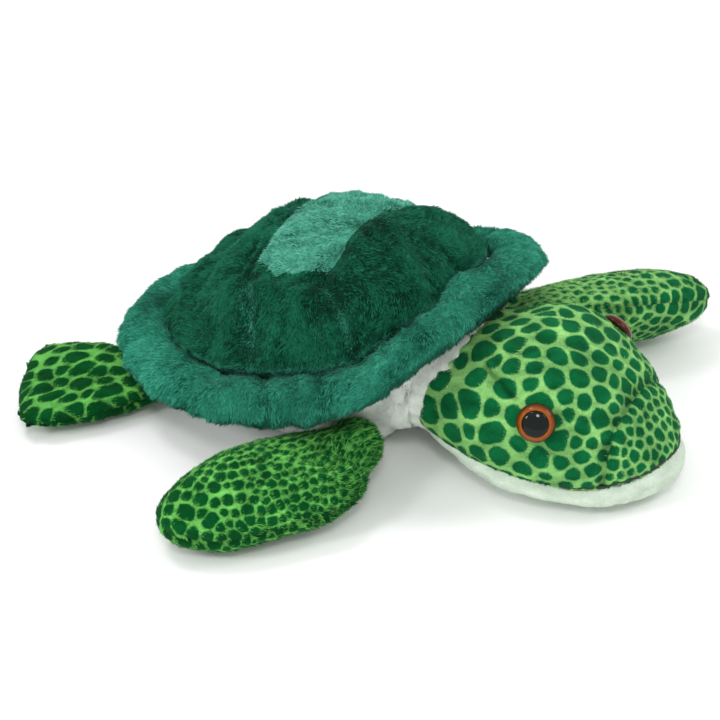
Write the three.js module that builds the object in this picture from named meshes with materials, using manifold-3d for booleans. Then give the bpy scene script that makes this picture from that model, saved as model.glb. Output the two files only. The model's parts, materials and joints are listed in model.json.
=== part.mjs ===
// A stuffed plush sea turtle, in millimetres, cut and sewn as the real toy is: covers, fills and safety eyes.
// +X runs to the nose, +Y to the turtle's left, +Z up. The origin lies under the middle of the shell, on the
// flat of the belly that the toy rests on. Each limb and the head turns on a round root in a socket of the torso.
import * as THREE from "three";
import { mergeVertices } from "three/addons/utils/BufferGeometryUtils.js";
import Module from "manifold-3d";

const wasm = await Module();
wasm.setup();

// Cloth and clearances
const plushThickness = 2.6; // one layer of plush, pile included
const clearance = 0.3; // between pieces that lie against each other
const jointClearance = 0.3; // round a root that turns in its socket
const overrun = 6; // how far a cutting solid runs past what it cuts

// Shell and belly, measured at the seam where the rim is sewn in
const shellFront = 58;
const shellRear = 80;
const shellHalfWidth = 59;
const seamFrontHeight = 71;
const seamRearHeight = 30;
const seamSideDroop = 8;
const apexHeight = 93;
const apexForward = 14;
const frontSquarenessShare = 3.2;
const rearSquarenessShare = 2;
const domeFrontSpreadShare = 1.1;
const domeRearSpreadShare = 1.3;
const domeRiseShare = 0.98;
const bellyFlatShare = 0.66;

// Light patch in the middle of the shell, and where the seams from its corners reach the rim
const patchLength = 36;
const patchWidth = 82;
const patchForward = -3;
const cornerSeamFrontAngle = 54;
const cornerSeamRearAngle = 94;

// Padded rim, sewn from four folded strips
const rimWidth = 24;
const rimThickness = 15;
const rimFrontDrop = 4;
const rimSideDrop = 11;
const rimRearDrop = 8;
const rimWave = 1.6; // how far the padding rises and falls
const rimWaveCount = 9;
const rimFrontJoinAngle = 45;
const rimRearJoinAngle = 150;
const rimRoundShare = 0.8;

// Neck: a collar of the belly's cover round the head's root
const neckForward = 70;
const neckHeight = 31;
const neckRootRadius = 25.5;
const neckRootHalfWidth = 40;
const neckRootSquarenessShare = 3;
const neckBallRadius = 17;
const neckThroatRadius = 8; // the opening that the head's fill is packed through
const neckTurnAngle = 12; // degrees to each side
const collarFront = 58;
const collarHalfWidth = 45.5;
const collarTop = 59;
const collarBottom = 8;
const collarSquarenessShare = 2.3;

// Head, measured from the neck's turning axis
const headLength = 91;
const headHalfWidth = 45.5;
const headRise = 37;
const headDrop = 30;
const snoutSeamBack = 20.5; // from the tip of the snout
// Seam between hood and chin: [share along the head, share of the head's drop below the neck's axis]
const chinSeamShares = [[0, 0.37], [0.4, 0.47], [0.66, 0.57], [0.86, 0.48], [1, 0.3]];

// Safety eyes: a black pupil moulded with its shank, an amber ring round it and a lock washer inside
const eyeForward = 44;
const eyeAngle = 27;
const eyeDiameter = 16;
const eyeDepth = 5.6;
const eyeEdge = 1;
const pupilDiameter = 10.6;
const eyeSink = 1.3; // how deep the eye presses into the plush
const shankDiameter = 4.8;
const shankLength = 11;
const shankRidgeDepth = 0.5;
const shankRidgePitch = 2.4;
const washerDiameter = 13;
const washerThickness = 1.6;
const washerBore = 5.6;

// Front flippers; sweep is back from straight out to the side, twist turns the leading edge up
const leftFrontRootForward = 46;
const leftFrontRootSide = 57;
const rightFrontRootForward = 40;
const rightFrontRootSide = 59;
const frontRootHeight = 19;
const frontRootRadius = 14;
const leftFrontLength = 97;
const rightFrontLength = 89;
const frontBladeWidth = 54;
const frontThickness = 34;
const leftFrontSweepAngle = -50;
const rightFrontSweepAngle = 30;
const leftFrontDroopAngle = 0; // degrees that the tip lies below the root
const rightFrontDroopAngle = 3;
const leftFrontTwistAngle = 34;
const rightFrontTwistAngle = -6;

// Rear flippers
const rearRootRear = 57;
const rearRootSide = 35;
const rearRootHeight = 9;
const rearRootRadius = 7.8;
const rearLength = 74;
const rearBladeWidth = 56;
const rearThickness = 15.6;
const leftRearSweepAngle = 24;
const rightRearSweepAngle = 52;
const rearDroopAngle = 0;
const rearTwistAngle = 0;
const limbEdgeShare = 1.15; // above 1 the faces run out to a sharper seam edge

// Counts of facets: outer covers first, then the coarser inner faces and fills
const torsoSides = [24, 16];
const domeLevelShares = [[0, 0.18, 0.38, 0.58, 0.78, 0.93], [0, 0.3, 0.6, 0.9]];
const bellyLevelShares = [[1, 0.76, 0.5, 0.24], [1, 0.7, 0.35]];
const rimSides = 6;
const headSides = [20, 14];
const headStations = [10, 7];
const limbSides = [12, 8];
const limbStations = [8, 5];
const ballSides = 12;
const socketSides = 20;
const neckSides = 16;
const seamPoints = 18;
const eyeSides = 16;

const degrees = Math.PI / 180;
const { lerp, clamp } = THREE.MathUtils;

const colours = {
  darkShell: { color: 0x1d5b43, roughness: 0.95 },
  lightShell: { color: 0x5aa589, roughness: 0.95 },
  rimPlush: { color: 0x2f8468, roughness: 0.95 },
  spottedPlush: { color: 0x49a03a, roughness: 0.92 },
  whitePlush: { color: 0xe9ede8, roughness: 0.92 },
  fibreFill: { color: 0xf4f3ee, roughness: 1 },
  amberPlastic: { color: 0xb4561c, roughness: 0.12 },
  blackPlastic: { color: 0x101214, roughness: 0.1 },
  washerPlastic: { color: 0xd9d9d4, roughness: 0.4 },
};

// A closed geometry as a solid for cutting and joining
function solid(geometry) {
  const bare = geometry.clone();
  bare.deleteAttribute("normal");
  bare.deleteAttribute("uv");
  const merged = mergeVertices(bare);
  return new wasm.Manifold(
    new wasm.Mesh({
      numProp: 3,
      vertProperties: merged.attributes.position.array,
      triVerts: new Uint32Array(merged.index.array),
    }),
  );
}

// A solid back as a geometry
function geometryOf(body) {
  const mesh = body.getMesh();
  const geometry = new THREE.BufferGeometry();
  geometry.setAttribute("position", new THREE.BufferAttribute(new Float32Array(mesh.vertProperties), 3));
  geometry.setIndex(new THREE.BufferAttribute(new Uint32Array(mesh.triVerts), 1));
  geometry.computeVertexNormals();
  return geometry;
}

// True where a closed run of triangles faces inwards, by the sign of the volume that it holds
function facesPointIn(points, triangles) {
  let volume = 0;
  for (let i = 0; i < triangles.length; i += 3) {
    const [a, b, c] = triangles.slice(i, i + 3).map((index) => points[index]);
    volume += a.dot(b.clone().cross(c));
  }
  return volume < 0;
}

// A solid skinned over rings of points. An open run of rings gets an end wall at each end, laid as a zipper
// between the two halves of the ring, so that a C-shaped ring closes too.
function loft(rings, closed = false) {
  const sides = rings[0].length;
  const points = rings.flat();
  const triangles = [];
  const quad = (a, b, c, d) => triangles.push(a, b, c, a, c, d);
  const spans = closed ? rings.length : rings.length - 1;
  for (let i = 0; i < spans; i++) {
    const [here, next] = [i * sides, ((i + 1) % rings.length) * sides];
    for (let k = 0; k < sides; k++) {
      const after = (k + 1) % sides;
      quad(here + k, here + after, next + after, next + k);
    }
  }
  if (!closed) {
    const last = (rings.length - 1) * sides;
    for (let k = 0; k < sides / 2 - 1; k++) {
      quad(sides - 1 - k, sides - 2 - k, k + 1, k);
      quad(last + k + 1, last + sides - 2 - k, last + sides - 1 - k, last + k);
    }
  }
  if (facesPointIn(points, triangles)) triangles.reverse();
  const geometry = new THREE.BufferGeometry().setFromPoints(points);
  geometry.setIndex(triangles);
  return solid(geometry);
}

// A smooth curve through a table of [share along, share of size], read at any share along
function smooth(table) {
  const slope = (i) => {
    const [before, after] = [table[Math.max(i - 1, 0)], table[Math.min(i + 1, table.length - 1)]];
    return (after[1] - before[1]) / (after[0] - before[0]);
  };
  return (along) => {
    const at = clamp(along, table[0][0], table[table.length - 1][0]);
    const i = Math.min(table.findLastIndex(([s]) => s <= at), table.length - 2);
    const [[s0, v0], [s1, v1]] = [table[i], table[i + 1]];
    const [span, t] = [s1 - s0, (at - s0) / (s1 - s0)];
    const [m0, m1] = [slope(i) * span, slope(i + 1) * span];
    const start = (2 * t ** 3 - 3 * t ** 2 + 1) * v0 + (t ** 3 - 2 * t ** 2 + t) * m0;
    return start + (3 * t ** 2 - 2 * t ** 3) * v1 + (t ** 3 - t ** 2) * m1;
  };
}

const signedPower = (value, power) => Math.sign(value) * Math.abs(value) ** power;
const turnsRound = (count) => Array.from({ length: count }, (_, k) => (2 * Math.PI * k) / count);

// A box with its lowest and highest corners given
function block(low, high) {
  const size = high.clone().sub(low);
  const box = new THREE.BoxGeometry(size.x, size.y, size.z);
  box.translate((low.x + high.x) / 2, (low.y + high.y) / 2, (low.z + high.z) / 2);
  return solid(box);
}

// An upright prism over a plan outline
function prism(outline, low, high) {
  const wall = new THREE.ExtrudeGeometry(new THREE.Shape(outline), { depth: high - low, bevelEnabled: false });
  wall.translate(0, 0, low);
  return solid(wall);
}

// A socket is grown so that its flat facets clear those of the round root that turns in it
const facetDip = (sides) => Math.cos(Math.PI / sides);
const socket = (radius, centre) => ball((radius + jointClearance) / facetDip(socketSides) ** 2, centre, socketSides);

function ball(radius, centre, sides = ballSides) {
  const sphere = new THREE.SphereGeometry(radius, sides, sides / 2);
  sphere.rotateX(Math.PI / 2);
  sphere.translate(centre.x, centre.y, centre.z);
  return solid(sphere);
}

// A turned piece along +Z from its [radius, height] points
function turned(profile) {
  const lathe = new THREE.LatheGeometry(profile.map(([r, z]) => new THREE.Vector2(r, z)), eyeSides);
  lathe.rotateX(Math.PI / 2);
  return solid(lathe);
}

function mesh(name, body, look) {
  const made = new THREE.Mesh(geometryOf(body), new THREE.MeshStandardMaterial({ metalness: 0, ...look }));
  made.name = name;
  return made;
}

// Torso: plan outline of the rim seam, squarer in front than behind
function seamOutline(angle, grow) {
  const [c, s] = [Math.cos(angle), Math.sin(angle)];
  const power = 2 / (c > 0 ? frontSquarenessShare : rearSquarenessShare);
  const reach = c > 0 ? shellFront : shellRear;
  return new THREE.Vector2((reach + grow) * signedPower(c, power), (shellHalfWidth + grow) * signedPower(s, power));
}

// Height of the rim seam: high over the neck, low over the tail, and drooping at the sides
function seamHeight(angle) {
  const { x, y } = seamOutline(angle, 0);
  const along = (x + shellRear) / (shellFront + shellRear);
  return lerp(seamRearHeight, seamFrontHeight, along) - seamSideDroop * (y / shellHalfWidth) ** 2;
}

// A ring of the torso: share 0 lies at the rim seam, and share 1 at the apex or, below, at the table
function torsoRing(share, above, inset, sides, seamShift = 0) {
  const [spreadOut, rise] = [Math.cos((share * Math.PI) / 2), Math.sin((share * Math.PI) / 2)];
  return turnsRound(sides).map((angle) => {
    const edge = seamOutline(angle, -inset);
    const seam = seamHeight(angle) + seamShift;
    const fullness = lerp(domeRearSpreadShare, domeFrontSpreadShare, (1 + Math.cos(angle)) / 2);
    const spread = above ? spreadOut ** fullness : lerp(bellyFlatShare, 1, spreadOut);
    const top = above ? lerp(seam, apexHeight - inset, rise ** domeRiseShare) : lerp(seam, inset, rise);
    return new THREE.Vector3(lerp(above ? apexForward : 0, edge.x, spread), edge.y * spread, top);
  });
}

const domeRings = (inset, level, shift) =>
  domeLevelShares[level].map((share) => torsoRing(share, true, inset, torsoSides[level], shift));
const bellyRings = (inset, level, shift) =>
  bellyLevelShares[level].map((share) => torsoRing(share, false, inset, torsoSides[level], shift));

// The belly's collar round the neck, as a tube that runs back into the torso
function collarForm(inset) {
  const half = collarHalfWidth - inset;
  const [low, high] = [collarBottom + inset, collarTop - inset];
  const power = 2 / collarSquarenessShare;
  const rings = [0, collarFront].map((x) =>
    turnsRound(torsoSides[1]).map((turn) => new THREE.Vector3(
      x,
      half * signedPower(Math.cos(turn), power),
      lerp(low, high, (1 + signedPower(Math.sin(turn), power)) / 2),
    )),
  );
  return loft(rings);
}

const torsoForm = (inset, level) =>
  loft([...bellyRings(inset, level), ...domeRings(inset, level)]).add(collarForm(inset));
const domeForm = () => loft(domeRings(0, 0, clearance / 2));
const bellyForm = () =>
  loft([...bellyRings(0, 0, -clearance / 2), torsoRing(0, false, 0, torsoSides[0], -clearance / 2)]).add(collarForm(0));

// Limbs: how far the leading edge, the trailing edge and the faces stand out along each kind of flipper
const frontShares = {
  lead: [[0, 0.24], [0.08, 0.35], [0.25, 0.49], [0.45, 0.53], [0.7, 0.49], [0.88, 0.36], [1, 0.16]],
  trail: [[0, 0.18], [0.1, 0.28], [0.25, 0.37], [0.5, 0.43], [0.75, 0.35], [0.9, 0.24], [1, 0.12]],
  thick: [[0, 0.3], [0.1, 0.33], [0.25, 0.39], [0.5, 0.5], [0.75, 0.47], [0.9, 0.36], [1, 0.17]],
};
const rearShares = {
  lead: [[0, 0.14], [0.15, 0.24], [0.35, 0.38], [0.6, 0.47], [0.82, 0.5], [0.94, 0.42], [1, 0.26]],
  trail: [[0, 0.14], [0.15, 0.26], [0.35, 0.4], [0.6, 0.5], [0.82, 0.52], [0.94, 0.42], [1, 0.25]],
  thick: [[0, 0.42], [0.15, 0.44], [0.35, 0.47], [0.6, 0.5], [0.82, 0.42], [0.94, 0.28], [1, 0.13]],
};
const frontLimb = (name, side, [forward, out], length, [sweep, droop, twist]) => ({
  name, side, length, sweep, droop, twist,
  root: new THREE.Vector3(forward, side * out, frontRootHeight),
  radius: frontRootRadius, width: frontBladeWidth, thickness: frontThickness, shares: frontShares,
});
const leftFrontRoot = [leftFrontRootForward, leftFrontRootSide];
const rightFrontRoot = [rightFrontRootForward, rightFrontRootSide];
const rearLimb = (name, side, sweep) => ({
  name, side, sweep, droop: rearDroopAngle, twist: rearTwistAngle,
  root: new THREE.Vector3(-rearRootRear, side * rearRootSide, rearRootHeight),
  radius: rearRootRadius, length: rearLength, width: rearBladeWidth, thickness: rearThickness, shares: rearShares,
});
const limbs = [
  frontLimb("front_left", 1, leftFrontRoot, leftFrontLength, [leftFrontSweepAngle, leftFrontDroopAngle, leftFrontTwistAngle]),
  frontLimb("front_right", -1, rightFrontRoot, rightFrontLength, [rightFrontSweepAngle, rightFrontDroopAngle, rightFrontTwistAngle]),
  rearLimb("rear_left", 1, leftRearSweepAngle),
  rearLimb("rear_right", -1, rightRearSweepAngle),
];

const neckPivot = new THREE.Vector3(neckForward, 0, neckHeight);

// The head's root: a barrel round the nodding axis, as wide as the neck
function neckRoot(grow) {
  const steps = ballSides / 2;
  const profile = Array.from({ length: steps + 1 }, (_, i) => {
    const across = -Math.cos((Math.PI * i) / steps);
    const radius = (neckRootRadius + grow) * Math.sqrt(Math.max(1 - Math.abs(across) ** neckRootSquarenessShare, 0));
    return new THREE.Vector2(radius, (neckRootHalfWidth + grow) * across);
  });
  return solid(new THREE.LatheGeometry(profile, neckSides));
}

// The sockets in the torso: the head's root at each turn of the neck, and a ball for each limb
function torsoSockets() {
  const half = neckTurnAngle / 2;
  const root = neckRoot((neckRootRadius + jointClearance) / facetDip(neckSides) - neckRootRadius);
  const turns = [-neckTurnAngle, -half, 0, half, neckTurnAngle].map((turn) => root.rotate([0, 0, turn]));
  const neck = turns.reduce((all, one) => all.add(one)).translate(neckPivot.toArray());
  return limbs.reduce((all, limb) => all.add(socket(limb.radius, limb.root)), neck);
}

// Plan outlines of the shell's panels: a middle patch, and seams from its corners out to the rim
function shellPanels() {
  const steps = 8;
  const rim = (from, to) => Array.from({ length: steps + 1 }, (_, i) =>
    seamOutline(lerp(from, to, i / steps) * degrees, overrun));
  const [ahead, behind] = [patchForward + patchLength / 2, patchForward - patchLength / 2];
  const half = patchWidth / 2;
  const corners = {
    aheadLeft: new THREE.Vector2(ahead, half),
    behindLeft: new THREE.Vector2(behind, half),
    behindRight: new THREE.Vector2(behind, -half),
    aheadRight: new THREE.Vector2(ahead, -half),
  };
  const { aheadLeft, behindLeft, behindRight, aheadRight } = corners;
  const [front, rear] = [cornerSeamFrontAngle, cornerSeamRearAngle];
  const outlines = {
    shell_centre_patch: [aheadRight, aheadLeft, behindLeft, behindRight],
    shell_front_panel: [...rim(-front, front), aheadLeft, aheadRight],
    shell_left_panel: [...rim(front, rear), behindLeft, aheadLeft],
    shell_rear_panel: [...rim(rear, 360 - rear), behindRight, behindLeft],
    shell_right_panel: [...rim(-rear, -front), aheadRight, behindRight],
  };
  const seams = [[aheadLeft, front], [behindLeft, rear], [behindRight, -rear], [aheadRight, -front]].map(
    ([corner, angle]) => [corner, seamOutline(angle * degrees, overrun)],
  );
  const edges = [[aheadRight, aheadLeft], [aheadLeft, behindLeft], [behindLeft, behindRight], [behindRight, aheadRight]];
  return { outlines, seams: seams.concat(edges) };
}

// A thin upright wall along a plan line, which cuts the gap of a seam
function seamCut([from, to]) {
  const along = to.clone().sub(from).normalize().multiplyScalar(clearance / 2);
  const across = new THREE.Vector2(-along.y, along.x);
  const [start, end] = [from.clone().sub(along), to.clone().add(along)];
  const outline = [start.clone().sub(across), end.clone().sub(across), end.clone().add(across), start.clone().add(across)];
  return prism(outline, 0, apexHeight + overrun);
}

function buildShell(group) {
  const { outlines, seams } = shellPanels();
  const skin = domeForm().subtract(torsoForm(plushThickness, 1));
  const cut = seams.reduce((all, seam) => all.subtract(seamCut(seam)), skin);
  for (const [name, outline] of Object.entries(outlines)) {
    const piece = cut.intersect(prism(outline, 0, apexHeight + overrun));
    const [largest] = piece.decompose().sort((a, b) => b.volume() - a.volume());
    group.add(mesh(name, largest, name === "shell_centre_patch" ? colours.lightShell : colours.darkShell));
  }
}

function buildTorso(group) {
  const sockets = torsoSockets();
  const belly = bellyForm().subtract(torsoForm(plushThickness, 1)).subtract(sockets);
  group.add(mesh("belly_cover", belly, colours.whitePlush));
  const fill = torsoForm(plushThickness + clearance, 1).subtract(sockets);
  group.add(mesh("torso_stuffing", fill, colours.fibreFill));
}

// Rim: a point of its section at an angle round the shell and a turn round the section, 0 outermost
function rimPoint(angle, turn, inset) {
  const inner = seamOutline(angle, clearance + inset);
  const outer = seamOutline(angle, clearance + rimWidth - inset);
  const out = (1 + Math.cos(turn)) / 2;
  const ahead = Math.cos(angle);
  const drop = lerp(rimSideDrop, ahead > 0 ? rimFrontDrop : rimRearDrop, ahead ** 2);
  const half = rimThickness / 2 - inset + (rimWave / 2) * Math.cos(rimWaveCount * angle);
  const plan = inner.lerp(outer, out);
  return new THREE.Vector3(plan.x, plan.y, seamHeight(angle) - drop * out + half * signedPower(Math.sin(turn), rimRoundShare));
}

const rimStrips = {
  front: [-rimFrontJoinAngle, rimFrontJoinAngle],
  left: [rimFrontJoinAngle, rimRearJoinAngle],
  rear: [rimRearJoinAngle, 360 - rimRearJoinAngle],
  right: [-rimRearJoinAngle, -rimFrontJoinAngle],
};

// Stations along a strip, and turns round its section that leave it open towards the seam
const stripStations = ([from, to]) => {
  const count = Math.round((torsoSides[0] * (to - from)) / 360);
  return Array.from({ length: count + 1 }, (_, i) => lerp(from, to, i / count) * degrees);
};
const stripEdge = Math.PI - clearance / rimThickness;
const stripTurns = Array.from({ length: 2 * rimSides }, (_, k) => lerp(-stripEdge, stripEdge, k / (2 * rimSides - 1)));

// One strip of the rim, folded round the padding
function rimCover(strip) {
  const gap = clearance / (2 * shellHalfWidth);
  const angles = stripStations(strip);
  angles[0] += gap;
  angles[angles.length - 1] -= gap;
  return loft(angles.map((angle) => {
    const outside = stripTurns.map((turn) => rimPoint(angle, turn, 0));
    const inside = stripTurns.map((turn) => rimPoint(angle, turn, plushThickness)).reverse();
    return [...outside, ...inside];
  }));
}

function buildRim(group) {
  for (const [name, strip] of Object.entries(rimStrips)) {
    group.add(mesh(`rim_${name}_cover`, rimCover(strip), colours.rimPlush));
  }
  const angles = Object.values(rimStrips).flatMap((strip) => stripStations(strip).slice(0, -1));
  const rings = angles.sort((a, b) => a - b).map((angle) =>
    stripTurns.map((turn) => rimPoint(angle, turn, plushThickness + 2 * clearance)));
  group.add(mesh("rim_stuffing", loft(rings, true), colours.fibreFill));
}

// The flat form of a flipper, swelling between its two seam edges
function bladeForm(limb, inset, level) {
  const [lead, trail, thick] = [limb.shares.lead, limb.shares.trail, limb.shares.thick].map(smooth);
  const stations = limbStations[level];
  const rings = Array.from({ length: stations + 1 }, (_, i) => {
    const share = Math.sin((Math.PI / 2) * (i / stations));
    return turnsRound(limbSides[level]).map((turn) => {
      const [c, s] = [Math.cos(turn), Math.sin(turn)];
      const reach = Math.max(limb.width * (c > 0 ? lead(share) : trail(share)) - inset, clearance);
      const half = Math.max(limb.thickness * thick(share) - inset, clearance);
      return new THREE.Vector3(share * (limb.length - inset), -limb.side * reach * c, half * signedPower(s, limbEdgeShare));
    });
  });
  return loft(rings);
}

const limbForm = (limb, inset, level) =>
  bladeForm(limb, inset, level).add(ball(limb.radius - inset, new THREE.Vector3()));

function buildLimb(limb) {
  const group = new THREE.Group();
  const [twist, droop, sweep] = [-limb.side * limb.twist, limb.droop, limb.side * (90 + limb.sweep)];
  group.position.copy(limb.root);
  group.rotation.set(twist * degrees, droop * degrees, sweep * degrees, "ZYX");
  const far = limb.length + overrun;
  const gap = clearance / 2;
  const above = block(new THREE.Vector3(-far, -far, gap), new THREE.Vector3(far, far, far));
  const below = block(new THREE.Vector3(-far, -far, -far), new THREE.Vector3(far, far, -gap));
  const skin = limbForm(limb, 0, 0).subtract(limbForm(limb, plushThickness, 1));
  group.add(mesh(`${limb.name}_flipper_upper_cover`, skin.intersect(above), colours.spottedPlush));
  group.add(mesh(`${limb.name}_flipper_lower_cover`, skin.intersect(below), colours.spottedPlush));
  const rootRadius = limb.radius - plushThickness - 3 * clearance;
  const hollow = socket(rootRadius, new THREE.Vector3());
  const fill = bladeForm(limb, plushThickness + clearance, 1).subtract(hollow);
  group.add(mesh(`${limb.name}_flipper_stuffing`, fill, colours.fibreFill));
  group.add(mesh(`${limb.name}_root_stuffing`, ball(rootRadius, new THREE.Vector3()), colours.fibreFill));
  return group;
}

// Head: half widths, crown heights and throat depths along it, as shares of the largest, and the height at which
// it is widest, as a share of its depth
const headWidth = smooth([
  [0, 0.87], [0.1, 0.93], [0.27, 1], [0.47, 0.97], [0.64, 0.86], [0.78, 0.69], [0.89, 0.5], [0.97, 0.29], [1, 0.12],
]);
const headCrown = smooth([
  [0, 0.66], [0.1, 0.75], [0.27, 0.97], [0.47, 0.92], [0.64, 0.68], [0.78, 0.39], [0.89, 0.12], [0.97, -0.12], [1, -0.25],
]);
const headThroat = smooth([
  [0, 0.9], [0.1, 0.96], [0.27, 1], [0.47, 1], [0.64, 1], [0.78, 0.99], [0.89, 0.95], [0.97, 0.84], [1, 0.7],
]);
const headWaist = smooth([[0, -0.1], [0.27, -0.12], [0.47, -0.2], [0.78, -0.4], [0.97, -0.48], [1, -0.5]]);
const headSquarenessShare = 2.45;

// A point of the head's surface, from the neck's axis; turn 0 is the left side and a quarter turn the crown
function headPoint(share, turn, inset) {
  const power = 2 / headSquarenessShare;
  const waist = headDrop * headWaist(share);
  const above = Math.max(headRise * headCrown(share) - inset - waist, clearance);
  const below = Math.max(waist + headDrop * headThroat(share) - inset, clearance);
  const half = Math.max(headHalfWidth * headWidth(share) - inset, clearance);
  const rise = signedPower(Math.sin(turn), power);
  return new THREE.Vector3(
    share * (headLength - inset),
    half * signedPower(Math.cos(turn), power),
    waist + rise * (rise > 0 ? above : below),
  );
}

function headForm(inset, level) {
  const rings = Array.from({ length: headStations[level] + 1 }, (_, i) => {
    const share = Math.sin((Math.PI / 2) * (i / headStations[level]));
    return turnsRound(headSides[level]).map((turn) => headPoint(share, turn, inset));
  });
  return loft(rings).add(neckRoot(-inset));
}

// Everything below the seam between the spotted hood and the white chin, as a slab with a curved top
function belowChinSeam(shift) {
  const behind = -neckRootRadius - overrun;
  const [ahead, low] = [headLength + overrun, -neckRootRadius - headDrop];
  const along = chinSeamShares.map(([share, drop]) => new THREE.Vector2(share * headLength, -drop * headDrop));
  const ends = [new THREE.Vector2(behind, along[0].y), new THREE.Vector2(ahead, along[along.length - 1].y)];
  const seam = new THREE.SplineCurve([ends[0], ...along, ends[1]]).getPoints(seamPoints);
  const outline = [
    new THREE.Vector2(behind, low),
    new THREE.Vector2(ahead, low),
    ...seam.reverse().map((p) => new THREE.Vector2(p.x, p.y + shift)),
  ];
  const wide = 2 * (headHalfWidth + overrun);
  const slab = new THREE.ExtrudeGeometry(new THREE.Shape(outline), { depth: wide, bevelEnabled: false });
  slab.rotateX(Math.PI / 2);
  slab.translate(0, wide / 2, 0);
  return solid(slab);
}

// Where an eye sits: its back lies a little under the plush, square to the surface
function eyePlace(side) {
  const share = eyeForward / headLength;
  const step = 0.01;
  const turn = side > 0 ? eyeAngle * degrees : Math.PI - eyeAngle * degrees;
  const at = headPoint(share, turn, 0);
  const along = headPoint(share + step, turn, 0).sub(at);
  const round = headPoint(share, turn + step, 0).sub(at);
  const out = along.cross(round).normalize();
  if (out.y * side < 0) out.negate();
  const place = new THREE.Group();
  place.position.copy(at).addScaledVector(out, -eyeSink);
  place.quaternion.setFromUnitVectors(new THREE.Vector3(0, 0, 1), out);
  place.updateMatrix();
  return place;
}

// The eye's domed front between two radii, as [radius, height] points
function eyeDome(from, to) {
  const steps = 4;
  return Array.from({ length: steps + 1 }, (_, i) => {
    const r = lerp(from, to, i / steps);
    return [r, eyeEdge + (eyeDepth - eyeEdge) * Math.sqrt(Math.max(1 - (2 * r / eyeDiameter) ** 2, 0))];
  });
}

const washerTop = -(plushThickness - eyeSink) - 2 * clearance;

function buildEye(side, name) {
  const place = eyePlace(side);
  const [ring, pupil, shank] = [eyeDiameter / 2, pupilDiameter / 2, shankDiameter / 2];
  const seat = pupil + clearance / 2;
  const iris = turned([[seat, 0], [ring, 0], ...eyeDome(ring, seat), [seat, 0]]);
  const ridges = [];
  for (let z = -shankLength + shankRidgePitch; z < washerTop - washerThickness; z += shankRidgePitch) {
    ridges.push([shank, z - shankRidgePitch / 2], [shank - shankRidgeDepth, z]);
  }
  const foot = [[0, -shankLength], [shank - shankRidgeDepth, -shankLength]];
  const pin = turned([...foot, ...ridges, [shank, washerTop], [shank, 0], [pupil, 0], ...eyeDome(pupil, 0)]);
  const [bore, wide, low] = [washerBore / 2, washerDiameter / 2, washerTop - washerThickness];
  const washer = turned([[bore, low], [wide, low], [wide, washerTop], [bore, washerTop], [bore, low]]);
  place.add(
    mesh(`${name}_eye_iris_ring`, iris, colours.amberPlastic),
    mesh(`${name}_eye_pupil_and_shank`, pin, colours.blackPlastic),
    mesh(`${name}_eye_lock_washer`, washer, colours.washerPlastic),
  );
  return place;
}

// What an eye takes out of the head: its seat and shank hole in the cover, and the washer's pocket in the fill
function eyeCut(side) {
  const rod = (radius, low, high) => turned([[0, low], [radius, low], [radius, high], [0, high]]);
  const cut = rod(eyeDiameter / 2 + clearance, -clearance, eyeDepth + overrun)
    .add(rod(washerBore / 2, -shankLength, overrun))
    .add(rod(washerDiameter / 2 + clearance, -shankLength - clearance, washerTop + clearance));
  return cut.transform(Array.from(eyePlace(side).matrix.elements));
}

function buildHead() {
  const group = new THREE.Group();
  group.position.copy(neckPivot);
  const eyes = eyeCut(1).add(eyeCut(-1));
  const skin = headForm(0, 0).subtract(headForm(plushThickness, 1)).subtract(eyes);
  const far = headLength + overrun;
  const gap = clearance / 2;
  const pastSnoutSeam = (shift) =>
    block(new THREE.Vector3(headLength - snoutSeamBack + shift, -far, -far), new THREE.Vector3(far, far, far));
  const hood = skin.subtract(belowChinSeam(gap));
  group.add(mesh("head_hood_cover", hood.subtract(pastSnoutSeam(-gap)), colours.spottedPlush));
  group.add(mesh("snout_cover", hood.intersect(pastSnoutSeam(gap)), colours.spottedPlush));
  group.add(mesh("chin_cover", skin.intersect(belowChinSeam(-gap)), colours.whitePlush));
  const throat = new THREE.CylinderGeometry(neckThroatRadius, neckThroatRadius, 2 * neckRootRadius, ballSides);
  throat.rotateZ(Math.PI / 2);
  throat.translate(-neckRootRadius, 0, 0);
  const hollow = socket(neckBallRadius, new THREE.Vector3()).add(solid(throat));
  const fill = headForm(plushThickness + clearance, 1).subtract(eyes).subtract(hollow);
  group.add(mesh("head_stuffing", fill, colours.fibreFill));
  group.add(mesh("neck_stuffing", ball(neckBallRadius, new THREE.Vector3()), colours.fibreFill));
  group.add(buildEye(1, "left"), buildEye(-1, "right"));
  return group;
}

const turtle = new THREE.Group();
buildTorso(turtle);
buildShell(turtle);
buildRim(turtle);
turtle.add(buildHead());
for (const limb of limbs) turtle.add(buildLimb(limb));

export default turtle;
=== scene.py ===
"""A stuffed plush sea turtle, dressed in pile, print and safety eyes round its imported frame."""

import json
import math
from contextlib import contextmanager

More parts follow.
